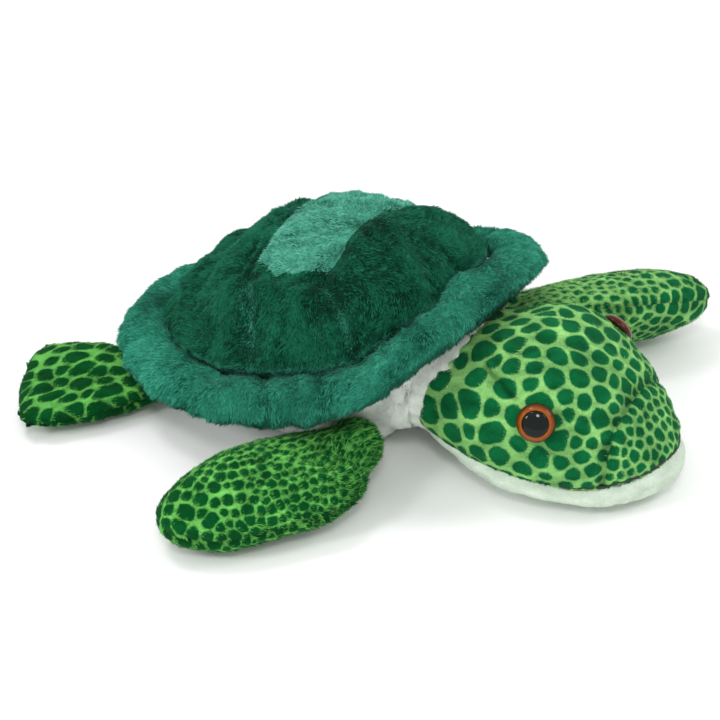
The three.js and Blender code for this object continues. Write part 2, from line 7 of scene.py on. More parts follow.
import bpy
import numpy as np
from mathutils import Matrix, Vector

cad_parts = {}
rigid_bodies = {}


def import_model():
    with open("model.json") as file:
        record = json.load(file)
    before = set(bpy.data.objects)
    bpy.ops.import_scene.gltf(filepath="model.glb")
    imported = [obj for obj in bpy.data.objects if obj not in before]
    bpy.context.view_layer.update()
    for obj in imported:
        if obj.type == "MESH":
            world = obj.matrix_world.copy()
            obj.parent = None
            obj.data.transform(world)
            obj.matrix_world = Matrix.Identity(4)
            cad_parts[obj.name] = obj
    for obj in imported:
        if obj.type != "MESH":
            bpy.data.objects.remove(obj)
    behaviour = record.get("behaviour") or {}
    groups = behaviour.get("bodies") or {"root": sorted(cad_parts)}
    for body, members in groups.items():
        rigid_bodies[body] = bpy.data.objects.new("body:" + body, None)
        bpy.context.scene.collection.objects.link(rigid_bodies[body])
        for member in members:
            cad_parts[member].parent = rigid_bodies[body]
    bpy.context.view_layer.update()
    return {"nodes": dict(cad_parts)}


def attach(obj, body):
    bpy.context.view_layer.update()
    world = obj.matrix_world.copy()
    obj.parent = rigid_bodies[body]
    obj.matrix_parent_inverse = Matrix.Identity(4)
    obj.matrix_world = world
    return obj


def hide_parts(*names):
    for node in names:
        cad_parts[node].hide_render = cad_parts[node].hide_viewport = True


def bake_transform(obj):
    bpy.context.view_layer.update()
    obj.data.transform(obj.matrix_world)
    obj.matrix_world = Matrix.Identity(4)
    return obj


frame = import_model()

bl_info = {
    "name": "Plush Turtle",
    "version": (1, 0, 0),
    "blender": (4, 5, 0),
    "location": "View3D > Sidebar > Turtle",
    "description": "Makes the covers, seams and eyes of a stuffed sea turtle",
    "category": "Add Mesh",
}

MM = 0.001
MERGE = 0.00001
BLOCK = 4096
ROOT_DEPTH = 0.0002
SHELL_SHEEN, PRINT_SHEEN = (0.5, 1, 0.8), (0.6, 1, 0.6)

# Places that the covers share with the frame, in millimetres
SHELL_FRONT, SHELL_REAR, SHELL_HALF_WIDTH = 58, 80, 59
SEAM_FRONT_HEIGHT, SEAM_REAR_HEIGHT, SEAM_SIDE_DROOP = 71, 30, 8
FRONT_SQUARENESS, REAR_SQUARENESS = 3.2, 2
PATCH_AHEAD, PATCH_SKEW, PATCH_BEHIND, PATCH_HALF_WIDTH = 14.5, 8, -22, 38
CORNER_SEAM_FRONT, CORNER_SEAM_REAR = 54, 94
RIM_FRONT_JOIN, RIM_REAR_JOIN = 45, 150
NECK = np.array([70, 0, 31]) * MM
SLEEVE_START, SLEEVE_LENGTH, SLEEVE_RINGS = 0.0535, 0.0165, 6
SNOUT_SEAM = 70.5
HEAD_MIDDLE = np.array([115, 0, 30]) * MM
CHEEK_DART = np.array([[83.5, 27, 56], [94.5, 34, 55.5], [103, 38, 52.5]]) * MM
CHIN_SEAM = [(-40, 11.1), (0, 11.1), (36.4, 14.1), (60, 17.1), (78, 14.4), (91, 9), (100, 9)]

# How the stuffed toy has settled: [degrees round the rim, share] stops, and shoves in millimetres
NEAR_CORNER = [(-80, 0), (-70, 0.06), (-60, 0.18), (-50, 0.38), (-40, 0.57), (-30, 0.66), (-20, 0.6), (-10, 0.38),
               (0, 0.2), (10, 0.08), (20, 0)]
NEAR_CORNER_IN, NEAR_CORNER_UP = 9.5, 6.5
REAR_EDGE = [(142, 0), (151, 0.45), (160, 0.62), (167, 0.45), (173, 0.45), (182, 0.65), (192, 0.65), (203, 0.25),
             (212, 0)]
REAR_IN, REAR_DOWN = 3, 5
FAR_FRONT = [(38, 0), (50, 0.7), (58, 1), (70, 0.8), (85, 0)]
FAR_FRONT_UP = 4
SAG = [(-134, 0), (-118, 0.55), (-104, 1), (-92, 0.9), (-84, 0.6), (-74, 0.15), (-70, 0)]
SAG_DOWN = 4.2
BACK_AHEAD, BACK_SINK = 2, 0.13
CROWN_UP, CREST_UP = 1.6, 1.2
# [degrees, share] stops along the rim's front, where its underside gets more painted shade
WHERE_FRONT_RIM_SHOWS_UNDER = [(-100, 0), (-80, 1), (8, 1), (18, 0)]

# Torso, in metres: how far cloth and shell are drawn in, how far the shell's edge and the collar's lip stand, and
# how wide and deep the seams are
CLOTH_IN, SHELL_IN = 0.0004, 0.001
FLANGE, FLANGE_WIDTH, LIP, COLLAR_TOP = 0.0018, 0.005, 0.002, 0.062
PATCH_SEAM, CORNER_SEAM, FOLD, SHELL_SEAM_DEPTH = 0.0032, 0.0026, 0.0016, 0.0024
TUFT = np.array([-62.7, -19.6, 56]) * MM

# Edges of the light pile, in millimetres: [y, x] at its rear and [x, y] at its sides
PATCH_REAR_EDGE = [(-30, -22), (0, -17.5), (30, -12)]
PATCH_SIDE_EDGE = [(-22, 29), (-9, 37.5), (14, 32), (24, 36)]

# Rim, in metres: how far its upper inner edge leans in and stands up, and its inner face closes onto the shell
RIM_IN, RIM_REAR_IN, RIM_UP, RIM_ROLL_UP, RIM_CLOSE = 0.0045, 0.002, 0.0032, 0.003, 0.002

# Head and flippers, in metres: depth of their seams, fullness of the chin and how much of it the snout lacks
HEAD_SEAM_DEPTH, FLIPPER_SEAM_DEPTH, SOCKET_DEPTH = 0.0017, 0.0009, 0.0012
CHIN_FULL, SNOUT_LACK = 0.0058, 0.0044

# Puckers of the rim: degrees, strength, width; and how deep a full one is
PUCKERS = [(-107, 1.9, 0.003), (-92, 1, 0.0024), (-82, 1.6, 0.0027), (-74, 0.8, 0.0022), (-157, 1.1, 0.0032),
           (-30, 0.5, 0.0024), (-3, 1.2, 0.0028)]
PUCKER_DEPTH = 0.0026
RIM_DEGREE = 0.00115

# Print: [millimetres ahead, pitch from one spot to the next in millimetres]
HEAD_PITCH = [(-30, 12.4), (15, 11.2), (35, 9.9), (50, 9.2), (64, 8.1), (72, 6), (92, 5.2)]
FLIPPER_PITCH = [(0, 3.8), (50, 4.1), (65, 4.9), (80, 6.8), (95, 7.6)]
FLIPPER_NAP = [(0, 1.7), (25, 1.4), (45, 1)]

# Each cover's own draw of locks
TORSO_SEED, RIM_SEED, HEAD_SEED, FLIPPER_SEED, NECK_SEED = 100, 110, 120, 130, 140

# Each flipper's share of painted shade darkens the whole of it
FLIPPERS = {
    "front_left": {
        "root": (46, 57, 19), "side": 1, "sweep": -50, "droop": 0, "twist": 34, "rounds": 3, "painted_shade": 0,
        "material": "turtle_print", "fray": 0.18, "pitch": 1.15, "gap": 0.0006},
    "front_right": {
        "root": (40, -59, 19), "side": -1, "sweep": 30, "droop": 3, "twist": -6, "rounds": 3, "painted_shade": 0.2,
        "material": "turtle_limb_print", "fray": 0.32, "pitch": 1, "gap": 0.00008},
    "rear_left": {
        "root": (-57, 35, 9), "side": 1, "sweep": 24, "droop": 0, "twist": 0, "rounds": 8, "painted_shade": 0.26,
        "material": "turtle_limb_print", "fray": 0.32},
    "rear_right": {
        "root": (-57, -35, 9), "side": -1, "sweep": 52, "droop": 0, "twist": 0, "rounds": 8, "painted_shade": 0.26,
        "material": "turtle_limb_print", "fray": 0.32},
}

# The thin outer corner of a rear flipper, in its own axes, is evened out before the flipper is bent
THIN_CORNER, THIN_CORNER_REACH, THIN_CORNER_ROUNDS = np.array([68.4, 23.3, 0.2]) * MM, 0.0125, 40
REAR_PITCH = 0.0074

# Eyes: [radius, height] in millimetres along the eye's axis
EYE_RADIUS, EYE_EDGE, EYE_DEPTH = 8, 1, 5.6
SHANK = [(0.01, -11), (1.9, -11), (2.4, -9.5), (2, -8.6), (2.4, -7), (2, -6.2), (2.4, -4.4), (2.4, 0), (5.2, 0.2),
         (5.3, 0.6), (5.3, 3.9)]
PUPIL_RADII = (5.2, 4.6, 3.8, 3, 2.2, 1.4, 0.6, 0.01)
IRIS_RADII = (7.95, 7.8, 7.5, 7.1, 6.6, 6.1, 5.6)

# Stitches of the mouth
STITCH, STITCH_GAP, THREAD_RADIUS = 0.0042, 0.0006, 0.00055

# Camera, in degrees and metres, and softboxes: place, size, power
AZIMUTH, ELEVATION, DISTANCE, LENS, SENSOR = 29, 33, 1, 112.5, 36
AIM = (0.0048, 0.0115, 0.0119)
SOFTBOXES = {
    "left_box": ((-0.37, -0.85, 0.63), 0.22, 2.4),
    "right_box": ((0.41, -0.7, 0.88), 0.22, 2.6),
    "top_box": ((-0.39, -0.09, 1.03), 0.3, 2),
    "fill": ((0.9, 0.5, 0.9), 0.6, 3),
}


def length_of(name, description, default):
    return bpy.props.FloatProperty(name=name, description=description, default=default, unit="LENGTH")


def number_of(name, description, default, **kind):
    return bpy.props.FloatProperty(name=name, description=description, default=default, **kind)


def colour_of(name, description, default):
    return bpy.props.FloatVectorProperty(name=name, description=description, size=3, subtype="COLOR", default=default)


class TurtleSizes(bpy.types.PropertyGroup):
    """Sizes of the cloth and of its pile"""

    voxel: length_of("Form grid", "Grid that a padded form is made on", 0.003)
    pressure: number_of("Stuffing pressure", "How hard the fill presses on the covers", 4)
    swell: length_of("Largest swell", "The furthest that the fill may push a cover", 0.0025)
    cover: length_of("Cover thickness", "Thickness of the backing cloth", 0.0014)
    long_lock: length_of("Long lock", "Length of the locks of the shell and rim", 0.0026)
    long_lock_width: length_of("Long lock width", "Width of a long lock at its root", 0.0006)
    short_lock: length_of("Short lock", "Length of the locks of the print and belly", 0.0017)
    short_lock_width: length_of("Short lock width", "Width of a short lock at its root", 0.0004)
    lean: number_of("Lean", "How far the locks stand off the cloth", math.radians(27), subtype="ANGLE")
    long_density: number_of("Long locks to 1 mm2", "How closely the long locks stand", 2.3)
    short_density: number_of("Short locks to 1 mm2", "How closely the short locks stand", 1.7)


class TurtleColours(bpy.types.PropertyGroup):
    """Colours of the cloth and of the eyes"""

    dark_shell: colour_of("Dark shell", "Middle of the dark pile", (0.0062, 0.098, 0.051))
    light_shell: colour_of("Light shell", "Middle of the light pile", (0.069, 0.34, 0.235))
    fringe: colour_of("Fringe", "Loose tips of the shell's pile along its seams", (0.035, 0.26, 0.17))
    rim: colour_of("Rim", "Middle of the rim's pile", (0.0205, 0.195, 0.122))
    lime: colour_of("Print ground", "Ground of the spotted print", (0.245, 0.56, 0.165))
    spot: colour_of("Print spots", "Spots of the print", (0.0024, 0.128, 0.037))
    limb_lime: colour_of("Flipper ground", "Ground of the flippers' print", (0.18, 0.62, 0.12))
    limb_spot: colour_of("Flipper spots", "Spots of the flippers' print", (0.001, 0.088, 0.017))
    white: colour_of("White plush", "Belly and chin", (0.62, 0.73, 0.6))
    amber: colour_of("Iris", "Amber ring of the eyes", (0.29, 0.072, 0.004))
    amber_edge: colour_of("Iris edge", "The ring's dark outer edge", (0.045, 0.009, 0.001))
    pupil: colour_of("Pupil", "Black of the eyes", (0.004, 0.007, 0.0065))
    thread: colour_of("Thread", "Stitches of the mouth", (0.012, 0.014, 0.014))


# Meshes


def select_only(*objects):
    bpy.ops.object.select_all(action="DESELECT")
    for obj in objects:
        obj.select_set(True)
    bpy.context.view_layer.objects.active = objects[0]


@contextmanager
def editing(obj, chosen=None):
    """Edit mode on one object, with all of its points selected or the chosen ones."""
    select_only(obj)
    bpy.ops.object.mode_set(mode="EDIT")
    bpy.ops.mesh.select_mode(type="VERT")
    bpy.ops.mesh.select_all(action="SELECT" if chosen is None else "DESELECT")
    if chosen is not None:
        bpy.ops.object.mode_set(mode="OBJECT")
        obj.data.vertices.foreach_set("select", chosen)
        bpy.ops.object.mode_set(mode="EDIT")
    yield
    bpy.ops.object.mode_set(mode="OBJECT")


def read(items, key, width=1, kind=float):
    """One value of every item, or one row of this width."""
    values = np.empty(len(items) * width, kind)
    items.foreach_get(key, values)
    return values if width == 1 else values.reshape(-1, width)


def points(obj):
    return read(obj.data.vertices, "co", 3)


def normals(obj):
    return read(obj.data.vertex_normals, "vector", 3)


def face_centres(obj):
    return read(obj.data.polygons, "center", 3)


def face_corners(obj):
    """The four points of each face."""
    return read(obj.data.loops, "vertex_index", kind=np.int32).reshape(-1, 4)


def move_to(obj, co):
    obj.data.vertices.foreach_set("co", co.ravel())
    obj.data.update()


def apply_modifier(obj, kind, **settings):
    modifier = obj.modifiers.new(kind.title(), kind)
    for key, value in settings.items():
        setattr(modifier, key, value)
    select_only(obj)
    bpy.ops.object.modifier_apply(modifier=modifier.name)


def unit(v):
    return v / np.maximum(np.linalg.norm(v, axis=1, keepdims=True), 1e-12)


def form_of(name, nodes, voxel):
    """One closed form that wraps the solids of these nodes."""
    copies = []
    for node in nodes:
        copy = bpy.data.objects.new(name, frame["nodes"][node].data.copy())
        copy.data.materials.clear()
        bpy.context.collection.objects.link(copy)
        copies.append(copy)
    select_only(*copies)
    if len(copies) > 1:
        bpy.ops.object.join()
    form = bpy.context.view_layer.objects.active
    form.name = form.data.name = name
    with editing(form):
        bpy.ops.mesh.remove_doubles(threshold=MERGE)
    apply_modifier(form, "REMESH", mode="VOXEL", voxel_size=voxel)
    return form


def smooth(obj, rounds, chosen=None):
    """Evens out the form, or the chosen points of it."""
    with editing(obj, chosen):
        bpy.ops.mesh.vertices_smooth(factor=0.5, repeat=rounds)


def plump(obj, pressure, most, frames=20):
    """Lets the fill press the cover out like cloth, about its own mean size, no point further than most."""
    rest, out = points(obj), normals(obj)
    cloth = obj.modifiers.new("Cloth", "CLOTH")
    cloth.settings.use_pressure = True
    cloth.settings.uniform_pressure_force = pressure
    cloth.settings.effector_weights.gravity = 0
    cloth.point_cache.frame_end = frames
    for number in range(1, frames + 1):
        bpy.context.scene.frame_set(number)
    swollen = points(obj.evaluated_get(bpy.context.evaluated_depsgraph_get()))
    obj.modifiers.remove(cloth)
    bpy.context.scene.frame_set(1)
    step = swollen - rest
    step = step - out * np.mean(np.sum(step * out, axis=1))
    far = np.linalg.norm(step, axis=1, keepdims=True)
    move_to(obj, rest + step * np.minimum(1, most / np.maximum(far, 1e-9)))


def refine(obj, levels):
    apply_modifier(obj, "SUBSURF", levels=levels, render_levels=levels)


def make_fill(name, node, body, inset, warp=None):
    """The fill of a form, drawn back from its covers."""
    fill = form_of(name, [node], 0.004)
    smooth(fill, 2)
    move_to(fill, points(fill) - normals(fill) * inset)
    if warp:
        move_to(fill, warp(points(fill)))
    refine(fill, 1)
    fill.data.materials.append(fibre_material())
    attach(fill, body)
    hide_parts(node)


def make_form(name, nodes, sizes, levels=2, rounds=3, inset=0.0005):
    """A plumped form of these nodes, fitted to their box and drawn back to make room for the pile."""
    form = form_of(name, nodes, sizes.voxel)
    box = points(form)
    smooth(form, rounds)
    fit(form, box)
    plump(form, sizes.pressure, sizes.swell)
    refine(form, levels)
    fit(form, box, 0.008)
    move_to(form, points(form) - normals(form) * inset)
    return form


def fit(form, box, most=1.0):
    """Scales the form to the box of these points, by no more than this share."""
    now = points(form)
    share = np.clip(np.ptp(box, axis=0) / np.ptp(now, axis=0), 1 - most, 1 + most)
    move_to(form, (now - (now.max(0) + now.min(0)) / 2) * share + (box.max(0) + box.min(0)) / 2)


# Pile


def lattice(ix, iy, iz, seed):
    """A steady draw between -1 and 1 for each place of a grid."""
    h = (ix * 374761393 + iy * 668265263 + iz * 1440662683 + seed * 974711) & 0xFFFFFFFF
    h = ((h ^ (h >> 13)) * 1274126177) & 0xFFFFFFFF
    return ((h ^ (h >> 16)) & 0xFFFF) / 32767.5 - 1


def soft_noise(p, seed):
    """Smooth noise between -1 and 1 at each point of p, about one bump to a unit."""
    base = np.floor(p).astype(np.int64)
    t = p - base
    t = t * t * (3 - 2 * t)
    total = np.zeros(len(p))
    for corner in range(8):
        d = [(corner >> k) & 1 for k in range(3)]
        weight = np.ones(len(p))
        for k in range(3):
            weight = weight * (t[:, k] if d[k] else 1 - t[:, k])
        total += weight * lattice(base[:, 0] + d[0], base[:, 1] + d[1], base[:, 2] + d[2], seed)
    return total


def streaks(p, along, width, length, seed, steps=7):
    """Noise smeared along a direction, as locks of pile lie."""
    total = np.zeros(len(p))
    for share in np.linspace(-0.5, 0.5, steps):
        total += soft_noise((p + along * (share * length)) / width, seed)
    return total / math.sqrt(steps) * 1.3


def write(obj, name, values):
    """Keeps a value or a vector of each point."""
    values = np.asarray(values, np.float32)
    kind, key = ("FLOAT", "value") if values.ndim == 1 else ("FLOAT_VECTOR", "vector")
    attribute = obj.data.attributes.get(name) or obj.data.attributes.new(name, kind, "POINT")
    attribute.data.foreach_set(key, values.ravel())


def swirl(along, p, n, turn, size, seed):
    """Turns a direction about the surface by slow noise, so that the pile lies every way a little."""
    along = unit(along - n * np.sum(along * n, axis=1, keepdims=True))
    angle = turn * soft_noise(p / size, seed)
    return along * np.cos(angle)[:, None] + np.cross(n, along) * np.sin(angle)[:, None]


def relief(obj, along, depth, width, length, seed):
    """Raises and sinks the cloth a little in clumps that lie along a direction."""
    p, n = points(obj), normals(obj)
    rise = streaks(p, along, width, length, seed)
    move_to(obj, p + n * (depth * rise)[:, None])
    # The cloth under the locks gets a low pile value, which the pile shader paints as shade between the locks
    write(obj, "pile", 0.35 * rise - 0.45)
    write(obj, "comb", along)


def kept(obj, name):
    """A kept value or vector of each point."""
    attribute = obj.data.attributes[name]
    if attribute.data_type == "FLOAT_VECTOR":
        return read(attribute.data, "vector", 3)
    return read(attribute.data, "value")


def model_lock():
    """One lock of pile, a unit long and wide: a spike along Z, set a little away from its back, which is Y."""
    bpy.ops.mesh.primitive_cone_add(vertices=3, radius1=0.5, radius2=0, depth=1, location=(0, -0.3, 0.5))
    lock = bpy.context.object
    bpy.ops.object.transform_apply(location=True)
    lock.data.calc_loop_triangles()
    shape = points(lock), np.array([list(t.vertices) for t in lock.data.loop_triangles])
    bpy.data.objects.remove(lock)
    return shape


def grow(obj, length, width, lean, density, seed, traits=(), fray=0.0):
    """Copies the lock all over a cover's outside: a mesh, and the direction that each of its points shades by."""
    rng = np.random.default_rng(seed)
    p, n, along = points(obj), normals(obj), kept(obj, "comb")
    stretch = kept(obj, "stretch") if "stretch" in obj.data.attributes else np.ones(len(p))
    corners, areas = face_corners(obj), read(obj.data.polygons, "area")
    # The pile is thinner underneath, where nothing shows it
    thin = np.where(np.take(n[:, 2], corners).mean(axis=1) < -0.3, 0.6, 1)
    locks = np.floor(areas / MM**2 * density * thin + rng.random(len(areas))).astype(int)
    face = np.repeat(np.arange(len(areas)), locks)
    u, v = rng.random(len(face)), rng.random(len(face))
    weights = np.stack([(1 - u) * (1 - v), u * (1 - v), u * v, (1 - u) * v], -1)
    picked = corners[face]

    def at(values):
        values = values[picked]
        return np.einsum("ij,ij...->i...", weights, values)

    root, up = at(p), unit(at(n))
    gather = np.stack([soft_noise(root / 0.0017, seed + k) for k in (1, 2, 3)], -1)
    clump = soft_noise(root / 0.0021, seed + 4)
    flow = at(along) + 0.6 * gather + 0.12 * rng.normal(size=root.shape)
    flow = unit(flow - up * np.sum(flow * up, axis=1, keepdims=True))
    tilt = lean * (0.6 + 0.8 * rng.random(len(root)))[:, None]
    way = flow * np.cos(tilt) + up * np.sin(tilt)
    back = up * np.cos(tilt) - flow * np.sin(tilt)
    side = np.cross(back, way)
    reach = length * at(stretch) * (0.75 + 0.5 * rng.random(len(root))) * (1 + 0.3 * clump)
    spread = width * (0.75 + 0.5 * rng.random(len(root)))
    shape, faces = model_lock()
    x, y, z = (shape[:, k][None, :, None] for k in range(3))
    broad, tall = spread[:, None, None], reach[:, None, None]
    co = (root - up * ROOT_DEPTH)[:, None] + side[:, None] * x * broad + back[:, None] * y * broad \
        + way[:, None] * z * tall
    shade = unit((0.45 * up[:, None] + 0.55 * back[:, None] + 1.1 * x * side[:, None]).reshape(-1, 3))
    count = len(root)
    triangles = (faces[None] + len(shape) * np.arange(count)[:, None, None]).reshape(-1, 3)
    mesh = bpy.data.meshes.new("pile")
    mesh.vertices.add(count * len(shape))
    mesh.vertices.foreach_set("co", co.ravel())
    mesh.loops.add(triangles.size)
    mesh.loops.foreach_set("vertex_index", triangles.ravel().astype(np.int32))
    mesh.polygons.add(len(triangles))
    mesh.polygons.foreach_set("loop_start", np.arange(0, triangles.size, 3, dtype=np.int32))
    mesh.update(calc_edges=True)
    pile = bpy.data.objects.new("pile", mesh)
    bpy.context.collection.objects.link(pile)
    # Each lock runs from painted shade at its root to painted light at its tip
    rise = -0.75 + (1.05 + 0.7 * rng.random(count) + 0.9 * clump)[:, None] * shape[:, 2][None, :]
    write(pile, "pile", rise.ravel())
    for trait in traits:
        values = at(kept(obj, trait))
        if trait == "print":
            values = values + fray * rng.normal(size=count)
        write(pile, trait, np.repeat(values, len(shape)))
    return pile, shade


def distance_to_path(p, path):
    """How far each point lies from an open line of straight stretches."""
    best = np.full(len(p), 1e9)
    for a, b in zip(path[:-1], path[1:]):
        a, b = np.asarray(a, float), np.asarray(b, float)
        t = np.clip((p - a) @ (b - a) / max((b - a) @ (b - a), 1e-12), 0, 1)
        best = np.minimum(best, np.linalg.norm(p - a - t[:, None] * (b - a), axis=1))
    return best


def press(obj, hold, depth):
    """Draws the cover in where a seam holds it."""
    move_to(obj, points(obj) - normals(obj) * (hold * depth)[:, None])


def near(gap, width):
    """1 where the gap is none, fading over this width."""
    return np.exp(-((gap / width) ** 2))


def between(value, start, end):
    """0 up to start, 1 from end on, and straight between them."""
    return np.clip((value - start) / (end - start), 0, 1)


def part_by_face(obj, labels, names):
    """Cuts a form into one object for each label of its faces."""
    for index, name in enumerate(names):
        obj.data.materials.append(bpy.data.materials.new("part_" + name))
    obj.data.polygons.foreach_set("material_index", labels.astype(np.int32))
    obj.data.update()
    with editing(obj):
        bpy.ops.mesh.separate(type="MATERIAL")
    parts = {}
    for part in list(bpy.context.selected_objects):
        key = part.data.materials[0].name.removeprefix("part_")
        part.data.materials.clear()
        part.name = part.data.name = key
        parts[key] = part
    return parts


def finish_cover(
        obj, body, nodes, material, sizes, seed, long=False, traits=(), joint=None, fray=0.0):
    """Gives a cover its wall, its pile, its finish and its place in the frame."""
    if long:
        size = sizes.long_lock, sizes.long_lock_width, sizes.lean, sizes.long_density
    else:
        size = sizes.short_lock, sizes.short_lock_width, sizes.lean, sizes.short_density
    pile, shade = grow(obj, *size, seed, traits, fray)
    apply_modifier(obj, "SOLIDIFY", thickness=sizes.cover, offset=-1, use_rim=True)
    backing = len(obj.data.vertices)
    select_only(obj, pile)
    bpy.ops.object.join()
    obj.data.materials.append(material)
    obj.data.polygons.foreach_set("use_smooth", np.ones(len(obj.data.polygons), bool))
    obj.data.polygons.foreach_set("material_index", np.zeros(len(obj.data.polygons), np.int32))
    facing = normals(obj)
    facing[backing:] = shade
    obj.data.normals_split_custom_set_from_vertices(facing.tolist())
    if joint:
        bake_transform(obj)
    else:
        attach(obj, body)
        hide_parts(*nodes)


# Print


def print_spots(obj, pitch, seed, apart=None, drawn=None, warp=0.16):
    """Close-packed spots, a pitch from one to the next: each point's way to its spot's middle and edge, and size."""
    rng = np.random.default_rng(seed)
    p = points(obj)
    if drawn is not None:
        p = p - np.outer(p @ drawn, drawn) * 0.3
    if apart is not None:
        p = p + np.outer(apart, [1, 0, 0])
    p = p.astype(np.float32)
    free = np.ones(len(p), bool)
    chosen = []
    for index in rng.permutation(len(p)):
        if free[index]:
            chosen.append(index)
            free &= np.sum((p - p[index]) ** 2, axis=1) > (0.8 * pitch[index]) ** 2
    p = p + warp * pitch.astype(np.float32)[:, None] * np.stack(
        [soft_noise(points(obj) / 0.011, seed + k) for k in (1, 2, 3)], -1).astype(np.float32)
    centre, size = p[chosen], pitch[chosen].astype(np.float32)
    size = size * (0.72 + 0.5 * rng.random(len(size), dtype=np.float32))
    for turn in range(4):
        first = np.empty(len(p), int)
        nearest, second = np.empty(len(p)), np.empty(len(p))
        for start in range(0, len(p), BLOCK):
            block = slice(start, start + BLOCK)
            far = np.linalg.norm(p[block][:, None] - centre[None], axis=2) / size
            first[block] = np.argmin(far, axis=1)
            nearest[block], second[block] = np.partition(far, 1, axis=1)[:, :2].T
        if turn < 3:
            total = np.maximum(np.bincount(first, minlength=len(centre)), 1)
            centre = [np.bincount(first, p[:, k], len(centre)) / total for k in range(3)]
            centre = np.stack(centre, -1).astype(np.float32)
    return nearest * size[first], (second - nearest) / 2 * size[first], size[first]


def keep_print(obj, pitch, gap, roundness, seed, apart=None, drawn=None, warp=0.16):
    """Keeps how far inside a spot each point lies: a rounded cell, drawn back from its neighbours."""
    to_centre, to_edge, size = print_spots(obj, pitch, seed, apart, drawn, warp)
    inside = roundness * size - to_centre
    clear = to_edge - gap
    blend = 0.0024 * np.clip(size / 0.01, 0.3, 1)
    mix = np.clip(0.5 + 0.5 * (clear - inside) / blend, 0, 1)
    write(obj, "print", 1000 * (clear * (1 - mix) + inside * mix - blend * mix * (1 - mix)))


# Materials


class Graph:
    """The nodes of a material or a node group, with short ways to add to them."""

    def __init__(self, tree):
        self.tree, self.nodes, self.links = tree, tree.nodes, tree.links

    def add(self, kind, **values):
        """A node with these properties and inputs."""
        made = self.nodes.new("ShaderNode" + kind)
        for key, value in values.items():
            if hasattr(made, key):
                setattr(made, key, value)
            else:
                made.inputs[key].default_value = value
        return made

    def feed(self, socket, value):
        """Joins a socket to another one, or gives it a value or a colour."""
        if hasattr(value, "is_linked"):
            self.links.new(value, socket)
        elif isinstance(value, (int, float)):
            socket.default_value = value
        else:
            socket.default_value = (*value, 1)

    def math(self, operation, a, b, clamp=False):
        made = self.add("Math", operation=operation, use_clamp=clamp)
        self.feed(made.inputs[0], a)
        self.feed(made.inputs[1], b)
        return made.outputs[0]

    def mix(self, factor, a, b, blend="MIX"):
        made = self.add("Mix", data_type="RGBA", blend_type=blend)
        for index, value in ((0, factor), (6, a), (7, b)):
            self.feed(made.inputs[index], value)
        return made.outputs[2]

    def ramp(self, value, low, high):
        """0 below low, 1 above high, and smooth between them."""
        made = self.add("MapRange", interpolation_type="SMOOTHSTEP")
        for index, given in enumerate((value, low, high)):
            self.feed(made.inputs[index], given)
        return made.outputs[0]

    def kept(self, name):
        """What a cover keeps at its points under this name."""
        return self.add("Attribute", attribute_name=name).outputs["Fac"]

    def texture(self, kind, **values):
        """A texture that stays where it is on its piece."""
        made = self.add("Tex" + kind, **values)
        self.links.new(self.add("TexCoord").outputs["Object"], made.inputs["Vector"])
        return made

    def bump(self, height, strength, distance):
        made = self.add("Bump", Strength=strength, Distance=distance)
        self.links.new(height, made.inputs["Height"])
        return made.outputs["Normal"]


def new_material(name):
    material = bpy.data.materials.new(name)
    material.use_nodes = True
    graph = Graph(material.node_tree)
    return material, graph, graph.nodes["Principled BSDF"]


def set_shader(graph, shader, **values):
    """Sets or joins the shader's inputs; an underscore stands for a space."""
    for key, value in values.items():
        graph.feed(shader.inputs[key.replace("_", " ")], value)


def group(name, inputs, outputs):
    """An empty node group with these sockets: {name: default} in, {name: type} out."""
    tree = bpy.data.node_groups.new(name, "ShaderNodeTree")
    for key, default in inputs.items():
        kind = "NodeSocketFloat" if isinstance(default, float) else "NodeSocketColor"
        tree.interface.new_socket(key, in_out="INPUT", socket_type=kind).default_value = default
    for key, kind in outputs.items():
        tree.interface.new_socket(key, in_out="OUTPUT", socket_type=kind)
    return Graph(tree), tree.nodes.new("NodeGroupInput").outputs, tree.nodes.new("NodeGroupOutput").inputs


def place_group(graph, name, make):
    """A node for a group, which is made the first time."""
    made = graph.add("Group")
    made.node_tree = bpy.data.node_groups.get(name) or make(name)
    return made


def pile_group(name):
    """Pile: painted shade between the locks and in seams, painted light at the tips, with single hairs on top."""
    graph, given, made = group(
        name, {"Colour": (0.1, 0.4, 0.3, 1), "Lock": 0.0, "Shade": 0.0, "Contrast": 1.0, "Hair Scale": 900.0},
        {"Colour": "NodeSocketColor", "Height": "NodeSocketFloat"})
    hairs = graph.texture("Noise", Detail=2.0, Roughness=0.6)
    graph.feed(hairs.inputs["Scale"], given["Hair Scale"])
    clouds = graph.texture("Noise", Scale=45.0, Detail=3.0)
    hair = graph.math("SUBTRACT", hairs.outputs["Fac"], 0.5)
    cloud = graph.math("SUBTRACT", clouds.outputs["Fac"], 0.5)
    lift = graph.math("ADD", graph.math("MULTIPLY", given["Lock"], 0.7), hair)
    lift = graph.math("ADD", lift, graph.math("MULTIPLY", cloud, 1.1))
    lift = graph.math("MULTIPLY", lift, given["Contrast"])
    up = graph.math("MINIMUM", graph.math("MAXIMUM", lift, 0.0), 1.0)
    down = graph.math("MINIMUM", graph.math("MAXIMUM", graph.math("MULTIPLY", lift, -1.0), 0.0), 1.0)
    # Painted shade towards the locks' roots, painted light at their tips, painted shade in seams
    shaded = graph.mix(down, given["Colour"], (0.14, 0.22, 0.2), "MULTIPLY")
    tipped = graph.mix(up, shaded, (2.5, 1.75, 1.85), "MULTIPLY")
    graph.feed(made["Colour"], graph.mix(given["Shade"], tipped, (0.22, 0.26, 0.24), "MULTIPLY"))
    graph.feed(made["Height"], hair)
    return graph.tree


